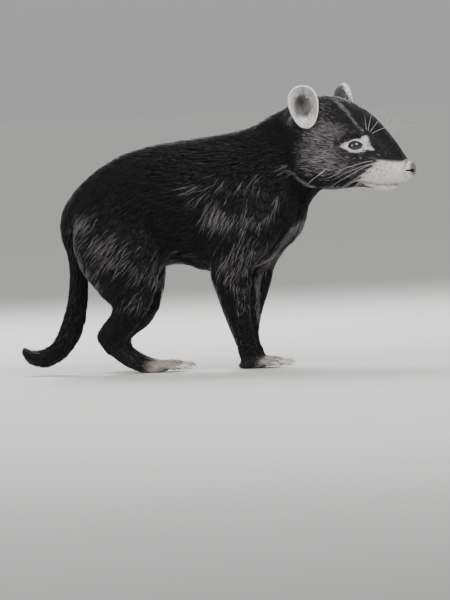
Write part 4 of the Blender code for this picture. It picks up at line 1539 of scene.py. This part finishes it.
CLAW_SIDES = 10
CLAW_STEPS = 12
CLAW_HALF_WIDTH = 0.72
CLAW_HALF_HEIGHT = 1.05


def make_claws():
    """One claw on each toe: curved, narrower than high, and tapered to a blunt tip."""
    thick = bpy.context.scene.devil_sizes.claw_radius / MM
    points, faces = [], []
    for _, claw in all_toes():
        along = np.linspace(0, 1, CLAW_STEPS)
        knots = np.linspace(0, 1, len(claw))
        line = np.stack([np.polyval(np.polyfit(knots, axis, 3), along) for axis in claw.T], axis=1)
        ahead = np.gradient(line, axis=0)
        first = len(points)
        for step, share in enumerate(along):
            aim = Vector(ahead[step]).normalized()
            side = aim.cross(Vector((0, 0, 1))).normalized()
            over = side.cross(aim)
            radius = thick * (1 - share**1.7) ** 0.6 * (0.9 + 0.1 * share) + 0.12
            for turn in np.linspace(0, 2 * math.pi, CLAW_SIDES, endpoint=False):
                off = side * (CLAW_HALF_WIDTH * radius * math.cos(turn))
                off += over * (CLAW_HALF_HEIGHT * radius * math.sin(turn))
                points.append(table_point(*(Vector(line[step]) + off)))
        for step in range(CLAW_STEPS - 1):
            for i in range(CLAW_SIDES):
                a = first + step * CLAW_SIDES + i
                b = first + step * CLAW_SIDES + (i + 1) % CLAW_SIDES
                faces.append((a, b, b + CLAW_SIDES, a + CLAW_SIDES))
        last = first + (CLAW_STEPS - 1) * CLAW_SIDES
        faces.append(tuple(range(first + CLAW_SIDES - 1, first - 1, -1)))
        faces.append(tuple(range(last, last + CLAW_SIDES)))
    claws = faced_outward(mesh_from("claws", points, faces))
    return finish_piece(claws, finish_of("claw_horn_worn"))


# Ears

EAR_HEIGHT = 60.0
EAR_WIDTH = 43.0
EAR_DEPTH = 15.0
EAR_NARROWER_FOOT = 0.16
EAR_SQUARENESS = 0.05
# Ridges round the inside of the cup: their share of the way to the rim, half width, how far
# they run on past the ear's middle line, and height.
EAR_RIDGES = [(0.7, 0.07, 0.35, 2.2), (0.42, 0.08, 0.0, 1.5)]
# The lobe in front of the opening and the hollow by it: middle, half sizes and height.
EAR_SWELLINGS = [((9, -15), (5, 7), 4.5), ((1, -9), (6, 9), -1.2)]
# Painted shade in the opening and the lobe's painted shadow: middle, half sizes and strength.
EAR_SHADES = [((-2, 8), (8, 11), 1.0), ((2, -12), (5, 7), 0.7)]
# Where the pale skin starts and is full, as a share of the way to the rim.
EAR_PALE = (0.5, 0.86)
# The pale skin reaches further in below: from and to these heights, and these shares.
EAR_PALE_BELOW = (-6, -20)
EAR_PALE_BELOW_SHARE = (0.3, 0.6)
# Where the dark back of the ear gives way to the rim.
EAR_BACK_END = (0.9, 0.975)
EAR_TURNS = 72
EAR_SHARES = np.concatenate((np.linspace(0.04, 0.9, 20), (0.94, 0.975, 0.993)))


def ear_place(mirror):
    """The ear's own frame: Z out of its cup, Y up."""
    centre = (EAR_CENTRE[0], mirror * EAR_CENTRE[1], EAR_CENTRE[2])
    aim = (math.cos(EAR_AIM), mirror * math.sin(EAR_AIM), 0.05)
    lean = (0, mirror * math.sin(EAR_LEAN), math.cos(EAR_LEAN))
    middle = Matrix.Translation(Vector(centre) * MM)
    return head_place() @ middle @ look_at_frame(aim, lean)


def swelling(across, up, middle, half):
    """1 at a rounded patch's middle, fading over its half sizes."""
    return np.exp(-(((across - middle[0]) / half[0]) ** 2) - ((up - middle[1]) / half[1]) ** 2)


def ear_radius(local):
    """0 at the middle of the ear and 1 at its rim."""
    return np.hypot(local[:, 0] / (EAR_WIDTH / 2), local[:, 1] / (EAR_HEIGHT / 2))


def ear_point(share, turn, inset, front):
    """A point of the cup in its own frame; share is 0 at its floor and 1 at its rim."""
    angle = share * math.pi / 2
    radius = math.sin(angle)
    narrow = 1 + EAR_NARROWER_FOOT * math.sin(turn) - EAR_SQUARENESS * math.cos(2 * turn)
    x = (EAR_WIDTH / 2 - inset) * radius * math.cos(turn) * narrow
    y = (EAR_HEIGHT / 2 - inset) * radius * math.sin(turn)
    z = -(EAR_DEPTH - inset) * math.cos(angle)
    if inset:
        for middle, half, onward, height in EAR_RIDGES:
            ridge = math.exp(-(((share - middle) / half) ** 2))
            z += height * ridge * max(0.0, onward - front * math.cos(turn))
        for middle, half, height in EAR_SWELLINGS:
            z += height * swelling(x * front, y, middle, half)
    return Vector((x, y, z))


def make_ear(side):
    """A thin cup with a rounded rim, ridges inside it and a lobe before its opening."""
    mirror = SIDES[side]
    front = -mirror
    turns = np.linspace(0, 2 * math.pi, EAR_TURNS, endpoint=False)
    wall = bpy.context.scene.devil_sizes.ear_wall / MM
    steps = [(share, 0.0) for share in EAR_SHARES]
    steps += [(1.0, wall * 0.3), (1.0, wall * 0.75)]
    steps += [(share, wall) for share in EAR_SHARES[::-1]]
    place = ear_place(mirror)
    rings = [
        [place @ (ear_point(share, t, inset, front) * MM) for t in turns] for share, inset in steps
    ]
    ear = lofted(f"ear_{side}_cup", rings)
    points, _ = mesh_arrays(ear.data)
    local = in_place(points, place)
    inner = np.zeros(len(points))
    first = len(EAR_SHARES) * EAR_TURNS
    inner[first : len(steps) * EAR_TURNS] = 1
    inner[-1] = 1
    radius = ear_radius(local)
    low = smooth_step(*EAR_PALE_BELOW, local[:, 1]) * smooth_step(*EAR_PALE_BELOW_SHARE, radius)
    pale = np.maximum(smooth_step(*EAR_PALE, radius), low)
    # Painted shade in the ear's opening and the lobe's painted shadow.
    ear_shades = [
        strength * swelling(local[:, 0] * front, local[:, 1], middle, half)
        for middle, half, strength in EAR_SHADES
    ]
    deep = np.maximum(*ear_shades)
    colour = mixed(mixed(paint("ear_cup"), "ear_shade", deep), "ear_rim", pale)
    outside = (1 - inner) * (1 - smooth_step(*EAR_BACK_END, radius))
    store(ear.data, "tint", with_alpha(mixed(colour, "ear_back", outside)))
    store(ear.data, "inner", inner)
    return finish_piece(ear, finish_of("skin_ear_thin"), [f"ear_{side}"])


# The hair on an ear's back: length and height over the skin in millimetres, and hairs in a
# square centimetre. Inside, length and density change from the middle to the rim.
EAR_BACK_HAIR = (5.0, 0.8, 62.0)
EAR_INNER_LENGTH = ([0.3, 0.9], [6.0, 3.0])
EAR_INNER_HEIGHT = 1.0
EAR_INNER_DENSITY = (8, 85)
EAR_DENSER = (0.5, 0.85)
EAR_HAIR_WIDTH = 0.5
# The hair is shorter on the rim, and longer in the fringe and in the tuft below.
EAR_RIM = (0.8, 0.95)
EAR_RIM_SHORTER = 1.2
EAR_FRINGE_LONGER = 6.0
EAR_TUFT_LONGER = 3.0
# Where the fringe and the tuft start and are full.
EAR_FRINGE_ACROSS = (2, 9)
EAR_FRINGE_SHARE = (0.45, 0.7)
EAR_TUFT_UP = (-12, -22)
# How much of the lie goes out to the rim inside the cup, and how far the hair lies up.
EAR_INNER_OUT = 0.35
EAR_LIE_UP = 12


def ear_coat(ear, side):
    """Short dark hair on the ear's back, a pale fringe on its rim and sparse pale hairs in it."""
    mirror = SIDES[side]
    points, _ = mesh_arrays(ear.data)
    place = ear_place(mirror)
    local = in_place(points, place)
    radius = ear_radius(local)
    inner = read(ear.data, "inner")[:, 0]
    outward = local * (1, 1, 0)
    fringe = smooth_step(*EAR_FRINGE_ACROSS, -mirror * local[:, 0])
    fringe = inner * fringe * smooth_step(*EAR_FRINGE_SHARE, radius)
    tuft = inner * smooth_step(*EAR_TUFT_UP, local[:, 1])
    inward = np.where(inner > 0.5, EAR_INNER_OUT, 1.0) - 1.6 * fringe
    up = (0, EAR_LIE_UP, 0) * (1 - 0.6 * fringe - 1.9 * tuft)[:, None]
    lie = unit_rows(outward * inward[:, None] + up) @ np.array(place.to_3x3()).T
    length, height, density = EAR_BACK_HAIR
    length = np.where(inner > 0.5, np.interp(radius, *EAR_INNER_LENGTH), length)
    length = length - EAR_RIM_SHORTER * smooth_step(*EAR_RIM, radius)
    length = length + EAR_FRINGE_LONGER * fringe + EAR_TUFT_LONGER * tuft
    height = np.where(inner > 0.5, EAR_INNER_HEIGHT + 0.8 * fringe, height)
    sparse, more = EAR_INNER_DENSITY
    inner_density = sparse + more * smooth_step(*EAR_DENSER, radius)
    density = np.where(inner > 0.5, inner_density, density)
    sizes = (length, height, EAR_HAIR_WIDTH, density)
    line = [tuple(place @ (Vector((0, y, -10)) * MM)) for y in (-34, 0, 34)]
    piece = CoatPiece(f"coat_ear_{side}", (), None, line, 50 + mirror)
    return grow_on(ear, piece, lie, sizes, read(ear.data, "tint")[:, :3])


# Whiskers

Whisker = namedtuple("Whisker", "root aim length sag")
# A row of whiskers in the head's frame: how many, the first root and the step to the next one,
# the first aim and its step, the first length and its step, and the sag as a share of the length.
WhiskerRow = namedtuple("WhiskerRow", "count root step aim turn length longer sag")
LIP_STEP = (-7, 0, 1.82)
LIP_TURN = (-0.15, 0, 0.07)
WHISKER_ROWS = [
    # Four rows on the lip, from the top.
    WhiskerRow(6, (151, 60, -27), LIP_STEP, (-0.2, 0.28, -0.47), LIP_TURN, 18, 12.5, 0.14),
    WhiskerRow(6, (148.5, 60, -31.95), LIP_STEP, (-0.2, 0.28, -0.67), LIP_TURN, 14, 12.5, 0.14),
    WhiskerRow(6, (151, 60, -38.2), LIP_STEP, (-0.2, 0.28, -0.87), LIP_TURN, 10, 12.5, 0.14),
    WhiskerRow(6, (148.5, 60, -43.15), LIP_STEP, (-0.2, 0.28, -1.07), LIP_TURN, 6, 12.5, 0.14),
    # Over the eye.
    WhiskerRow(4, (114, 60, 20), (-2.5, 0, 2), (0.95, 0.22, 0.4), (-0.3, 0, 0.25), 60, -9, 0.22),
    # On the cheek.
    WhiskerRow(2, (60, 90, -26), (-5, 0, -4), (-0.8, 0.15, -0.5), (0, 0, 0), 34, 0, 0.12),
]
WHISKER_SEED = 71
LENGTH_CHANCE = (0.85, 1.15)
AIM_CHANCE = 0.04


def whisker_list():
    """The whiskers of one side, row by row, with some chance in their length and aim."""
    rng = np.random.default_rng(WHISKER_SEED)
    found = []
    for row in WHISKER_ROWS:
        for place in range(row.count):
            root = np.array(row.root) + place * np.array(row.step)
            aim = np.array(row.aim) + place * np.array(row.turn)
            length = (row.length + place * row.longer) * rng.uniform(*LENGTH_CHANCE)
            found.append(Whisker(root, aim + rng.normal(0, AIM_CHANCE, 3), length, row.sag))
    return found


WHISKER_STEPS = 14
WHISKER_SIDES = 6
WHISKER_TAPER = 0.88
# How far over the skin a whisker passes, so that it lies on the coat.
WHISKER_CLEARANCE = 2.6


def whisker_paths(tree):
    """The points of every whisker, from its root in the skin to its tip."""
    turn = head_place().to_3x3()
    paths = []
    for whisker in whisker_list():
        for mirror in (1, -1):
            forward, side, up = whisker.root
            start = head_point(forward, mirror * side, up)
            hit = tree.ray_cast(start, turn @ Vector((0, -mirror, 0)))[0]
            if hit is None:
                continue
            aim = Vector(whisker.aim)
            aim.y *= mirror
            aim = turn @ aim.normalized()
            inner = hit - aim * 2 * MM
            path = []
            for t in np.linspace(0, 1, WHISKER_STEPS):
                drop = Vector((0, 0, -1)) * (whisker.sag * whisker.length * t * t * MM)
                point = inner + aim * (whisker.length * t * MM) + drop
                under, normal, _, _ = tree.find_nearest(point)
                lift = WHISKER_CLEARANCE * MM * min(1.0, 4 * t) - (point - under).dot(normal)
                path.append(point + normal * max(0.0, lift) if t else point)
            paths.append(path)
    return paths


def whisker_tree(finish):
    """Turns each line of points into a thin hair that tapers to its tip."""
    tree = bpy.data.node_groups.new("whiskers", "GeometryNodeTree")
    interface = tree.interface
    interface.new_socket("Geometry", in_out="INPUT", socket_type="NodeSocketGeometry")
    radius = interface.new_socket("Root radius", in_out="INPUT", socket_type="NodeSocketFloat")
    radius.default_value = bpy.context.scene.devil_sizes.whisker_radius
    sides = interface.new_socket("Sides", in_out="INPUT", socket_type="NodeSocketInt")
    sides.default_value = WHISKER_SIDES
    interface.new_socket("Geometry", in_out="OUTPUT", socket_type="NodeSocketGeometry")
    start = tree.nodes.new("NodeGroupInput")
    end = tree.nodes.new("NodeGroupOutput")
    taper = add_node(tree, "GeometryNodeInputNamedAttribute", {"data_type": "FLOAT"}, Name="taper")
    curves = add_node(tree, "GeometryNodeMeshToCurve", None, Mesh=start.outputs["Geometry"])
    thick = add_node(
        tree, "ShaderNodeMath", {"operation": "MULTIPLY"},
        i0=taper.outputs["Attribute"], i1=start.outputs["Root radius"],
    )
    ring = add_node(
        tree, "GeometryNodeCurvePrimitiveCircle", {"mode": "RADIUS"},
        Resolution=start.outputs["Sides"], Radius=1.0,
    )
    skin = add_node(
        tree, "GeometryNodeCurveToMesh", None,
        Curve=curves.outputs["Curve"], i1=ring.outputs["Curve"], Scale=thick.outputs["Value"],
    )
    skin.inputs["Fill Caps"].default_value = True
    real = add_node(tree, "GeometryNodeRealizeInstances", None, Geometry=skin.outputs["Mesh"])
    painted = add_node(
        tree, "GeometryNodeSetMaterial", None, Geometry=real.outputs["Geometry"], Material=finish
    )
    tree.links.new(painted.outputs["Geometry"], end.inputs["Geometry"])
    return tree, radius.identifier, sides.identifier


def make_whiskers(tree):
    """All the whiskers as one piece."""
    paths = whisker_paths(tree)
    points = [point for path in paths for point in path]
    edges = [
        (first * WHISKER_STEPS + i, first * WHISKER_STEPS + i + 1)
        for first in range(len(paths))
        for i in range(WHISKER_STEPS - 1)
    ]
    mesh = bpy.data.meshes.new("whiskers")
    mesh.from_pydata([tuple(p) for p in points], edges, [])
    taper = 1 - WHISKER_TAPER * np.linspace(0, 1, WHISKER_STEPS) ** 1.2
    store(mesh, "taper", np.tile(taper, len(paths)))
    whiskers = mesh_object("whiskers", mesh)
    finish = finish_of("whisker_bristle_pale")
    nodes, radius, sides = whisker_tree(finish)
    grown = whiskers.modifiers.new("grown", "NODES")
    grown.node_group = nodes
    grown[radius] = bpy.context.scene.devil_sizes.whisker_radius
    grown[sides] = WHISKER_SIDES
    applied(whiskers)
    return finish_piece(whiskers, finish)


# Stage

VIEW_AZIMUTH = math.radians(4)
VIEW_ELEVATION = math.radians(2)
VIEW_ROLL = math.radians(-2.5)
VIEW_AIM = (14.7, 0.0, 95.35)
VIEW_HEIGHT = 0.84
FLOOR_HALF = 60.0
HORIZON_LIGHT = 0.4
# A matt floor of this paint under a sky that brightens as much as this to its top is as light
# as the sky at the horizon, so no line shows between them.
ZENITH_SHARE = 2.09
# Each light's name, place and size in metres, and power in watts.
LIGHTS = [
    ("key", (1.2, -1.8, 2.0), 1.2, 52),
    ("fill", (-1.6, -1.2, 0.9), 1.4, 16),
    ("rim", (-0.4, 1.8, 1.8), 1.2, 90),
]
LIGHT_AIM = (0, 0, 0.2)


def add_camera():
    """A camera far off, so that it sees the animal as flat as the picture does."""
    data = bpy.data.cameras.new("camera")
    data.sensor_fit = "VERTICAL"
    distance = bpy.context.scene.devil_sizes.view_distance
    data.angle = 2 * math.atan(VIEW_HEIGHT / 2 / distance)
    data.clip_end = 4 * FLOOR_HALF
    camera = bpy.data.objects.new("camera", data)
    bpy.context.scene.collection.objects.link(camera)
    flat = math.cos(VIEW_ELEVATION)
    out = Vector(
        (math.sin(VIEW_AZIMUTH) * flat, -math.cos(VIEW_AZIMUTH) * flat, math.sin(VIEW_ELEVATION))
    )
    turn = (-out).to_track_quat("-Z", "Y").to_matrix() @ Matrix.Rotation(VIEW_ROLL, 3, "Z")
    place = Matrix.Translation(table_point(*VIEW_AIM) + out * distance)
    camera.matrix_world = place @ turn.to_4x4()
    bpy.context.scene.camera = camera


def add_light(name, place, size, power):
    """A soft square light that is turned to the animal."""
    data = bpy.data.lights.new(name, "AREA")
    data.size = size
    data.energy = power
    light = bpy.data.objects.new(name, data)
    bpy.context.scene.collection.objects.link(light)
    place = Vector(place)
    turn = (Vector(LIGHT_AIM) - place).to_track_quat("-Z", "Y").to_matrix().to_4x4()
    light.matrix_world = Matrix.Translation(place) @ turn


def make_sky():
    """Soft light from all round, a little brighter from above."""
    world = bpy.data.worlds.new("studio")
    world.use_nodes = True
    tree = world.node_tree
    place = add_node(tree, "ShaderNodeTexCoord").outputs["Generated"]
    axes = add_node(tree, "ShaderNodeSeparateXYZ", None, Vector=place)
    light = add_node(
        tree, "ShaderNodeMapRange", None, Value=axes.outputs["Z"],
        i3=HORIZON_LIGHT, i4=HORIZON_LIGHT * ZENITH_SHARE,
    )
    background = tree.nodes["Background"]
    background.inputs["Color"].default_value = (1, 1, 1, 1)
    tree.links.new(light.outputs["Result"], background.inputs["Strength"])
    bpy.context.scene.world = world


def make_stage():
    """Floor, sky, lights and camera."""
    far = FLOOR_HALF
    corners = [(-far, -far, 0), (far, -far, 0), (far, far, 0), (-far, far, 0)]
    floor = mesh_from("floor", corners, [(0, 1, 2, 3)])
    floor.data.materials.append(finish_of("floor_matt_paint"))
    make_sky()
    for name, place, size, power in LIGHTS:
        add_light(name, place, size, power)
    add_camera()


def skin_tree(skin):
    """The skin as it is before it is drawn in under the lids, to cast rays on."""
    return tree_of(read(skin.data, "before_lids"), triangles_of(skin.data))


class DevilSizes(bpy.types.PropertyGroup):
    """Sizes that a user would change"""

    coat_density: FloatProperty(
        name="Coat density", description="Share of the full number of tufts",
        default=1.0, min=0.05, max=1.5, subtype="FACTOR",
    )
    whisker_radius: FloatProperty(
        name="Whisker radius", description="Radius of a whisker at its root",
        default=0.3 * MM, min=0.1 * MM, max=1 * MM, unit="LENGTH",
    )
    claw_radius: FloatProperty(
        name="Claw radius", description="Radius of a claw at its root",
        default=2.0 * MM, min=1 * MM, max=3 * MM, unit="LENGTH",
    )
    ear_wall: FloatProperty(
        name="Ear wall", description="Thickness of an ear",
        default=2.0 * MM, min=1 * MM, max=4 * MM, unit="LENGTH",
    )
    view_distance: FloatProperty(
        name="View distance", description="How far the camera stands from the animal",
        default=9.0, min=2.0, max=20.0, unit="LENGTH",
    )


def colour_property(name, description, hex_colour):
    return FloatVectorProperty(
        name=name, description=description, default=linear(hex_colour),
        size=3, min=0, max=1, subtype="COLOR",
    )


class DevilColours(bpy.types.PropertyGroup):
    """Colours of hair, skin, horn and stage"""

    black: colour_property("Black", "Coat of the body and head", "#070607")
    # The cheeks' grey is the mid-tone of the painted sheen on them.
    cheek: colour_property("Cheek", "Warm dark grey of the cheeks", "#3a3335")
    # The pale strands are painted sheen and rim highlights in the black coat.
    highlight_strand_dark: colour_property("Dark strand", "The darkest of the pale strands", "#3c3739")
    highlight_strand: colour_property("Pale strand", "The palest of the strands in the black coat", "#b9b3b5")
    white: colour_property("White", "Muzzle and rings round the eyes", "#f1efec")
    # Besides the whiskers' spots, this colour paints the lips' line, partly painted shade in the
    # mouth's crease.
    spot_and_lip_shade: colour_property("Spot", "Hair round the whiskers' roots and the lips' line", "#625b58")
    paw: colour_property("Paw", "Skin and thin hair of the feet", "#a79d99")
    ear_rim: colour_property("Ear rim", "Rim of each ear", "#efedeb")
    ear_cup: colour_property("Ear cup", "Inside of each ear", "#6f6967")
    # The ear's deepest part is painted shade.
    ear_shade: colour_property("Ear deep", "The deepest part of each ear", "#1d1a1a")
    ear_back: colour_property("Ear back", "Back of each ear", "#524c4c")
    # On the nose, this colour paints the nostrils' shade.
    lid: colour_property("Lid", "Bare edges of the lids, and the nostrils", "#0b0a0a")
    iris: colour_property("Iris", "Iris of each eye", "#1a120d")
    pupil: colour_property("Pupil", "Pupil and edge of each eye", "#050404")
    nose: colour_property("Nose", "Middle of the nose's pad", "#66625f")
    nose_rim: colour_property("Nose rim", "Edge of the nose's pad", "#b3aea9")
    claw: colour_property("Claw", "Horn of the claws", "#dbd5cb")
    whisker: colour_property("Whisker", "Whiskers", "#e6e3e0")
    floor: colour_property("Floor", "Studio floor", "#c9c8c6")


class DEVIL_OT_skin(bpy.types.Operator):
    """Makes the one bare skin under the coat"""

    bl_idname = "devil.skin"
    bl_label = "Skin"

    def execute(self, context):
        skin = make_skin()
        names = [name for name in flesh_names() if name != "nose"]
        finish_piece(skin, finish_of("skin_bare_wrinkled"), names)
        return {"FINISHED"}


class DEVIL_OT_coat(bpy.types.Operator):
    """Grows the coat over the skin"""

    bl_idname = "devil.coat"
    bl_label = "Coat"

    def execute(self, context):
        make_coat(bpy.data.objects["skin"])
        return {"FINISHED"}


class DEVIL_OT_eyes(bpy.types.Operator):
    """Makes the eyes and their lids"""

    bl_idname = "devil.eyes"
    bl_label = "Eyes and lids"

    def execute(self, context):
        make_eyes()
        for lids, side in zip(make_lids(skin_tree(bpy.data.objects["skin"])), SIDES):
            lid_coat(lids, side)
        return {"FINISHED"}


class DEVIL_OT_nose(bpy.types.Operator):
    """Makes the pad of the nose"""

    bl_idname = "devil.nose"
    bl_label = "Nose"

    def execute(self, context):
        nose_coat(make_nose())
        return {"FINISHED"}


class DEVIL_OT_ears(bpy.types.Operator):
    """Makes the ears and their hair"""

    bl_idname = "devil.ears"
    bl_label = "Ears"

    def execute(self, context):
        for side in SIDES:
            ear_coat(make_ear(side), side)
        return {"FINISHED"}


class DEVIL_OT_claws(bpy.types.Operator):
    """Makes the claws"""

    bl_idname = "devil.claws"
    bl_label = "Claws"

    def execute(self, context):
        make_claws()
        return {"FINISHED"}


class DEVIL_OT_whiskers(bpy.types.Operator):
    """Makes the whiskers"""

    bl_idname = "devil.whiskers"
    bl_label = "Whiskers"

    def execute(self, context):
        make_whiskers(skin_tree(bpy.data.objects["skin"]))
        return {"FINISHED"}


class DEVIL_OT_stage(bpy.types.Operator):
    """Sets the floor, the lights and the camera"""

    bl_idname = "devil.stage"
    bl_label = "Stage"

    def execute(self, context):
        make_stage()
        return {"FINISHED"}


class DEVIL_PT_panel(bpy.types.Panel):
    """Lists the sizes, the colours and the pieces"""

    bl_idname = "DEVIL_PT_panel"
    bl_label = "Tasmanian devil"
    bl_space_type = "VIEW_3D"
    bl_region_type = "UI"
    bl_category = "Devil"

    def draw(self, context):
        for group in (context.scene.devil_sizes, context.scene.devil_colours):
            for name in group.__annotations__:
                self.layout.prop(group, name)
        for operator in OPERATORS:
            self.layout.operator(operator.bl_idname)


OPERATORS = (
    DEVIL_OT_skin,
    DEVIL_OT_coat,
    DEVIL_OT_eyes,
    DEVIL_OT_nose,
    DEVIL_OT_ears,
    DEVIL_OT_claws,
    DEVIL_OT_whiskers,
    DEVIL_OT_stage,
)
CLASSES = (DevilSizes, DevilColours, *OPERATORS, DEVIL_PT_panel)


def register():
    for item in CLASSES:
        bpy.utils.register_class(item)
    bpy.types.Scene.devil_sizes = PointerProperty(type=DevilSizes)
    bpy.types.Scene.devil_colours = PointerProperty(type=DevilColours)


def unregister():
    del bpy.types.Scene.devil_colours
    del bpy.types.Scene.devil_sizes
    for item in reversed(CLASSES):
        bpy.utils.unregister_class(item)


def main():
    register()
    for operator in OPERATORS:
        getattr(bpy.ops.devil, operator.bl_idname.split(".")[1])()


if __name__ == "__main__":
    main()
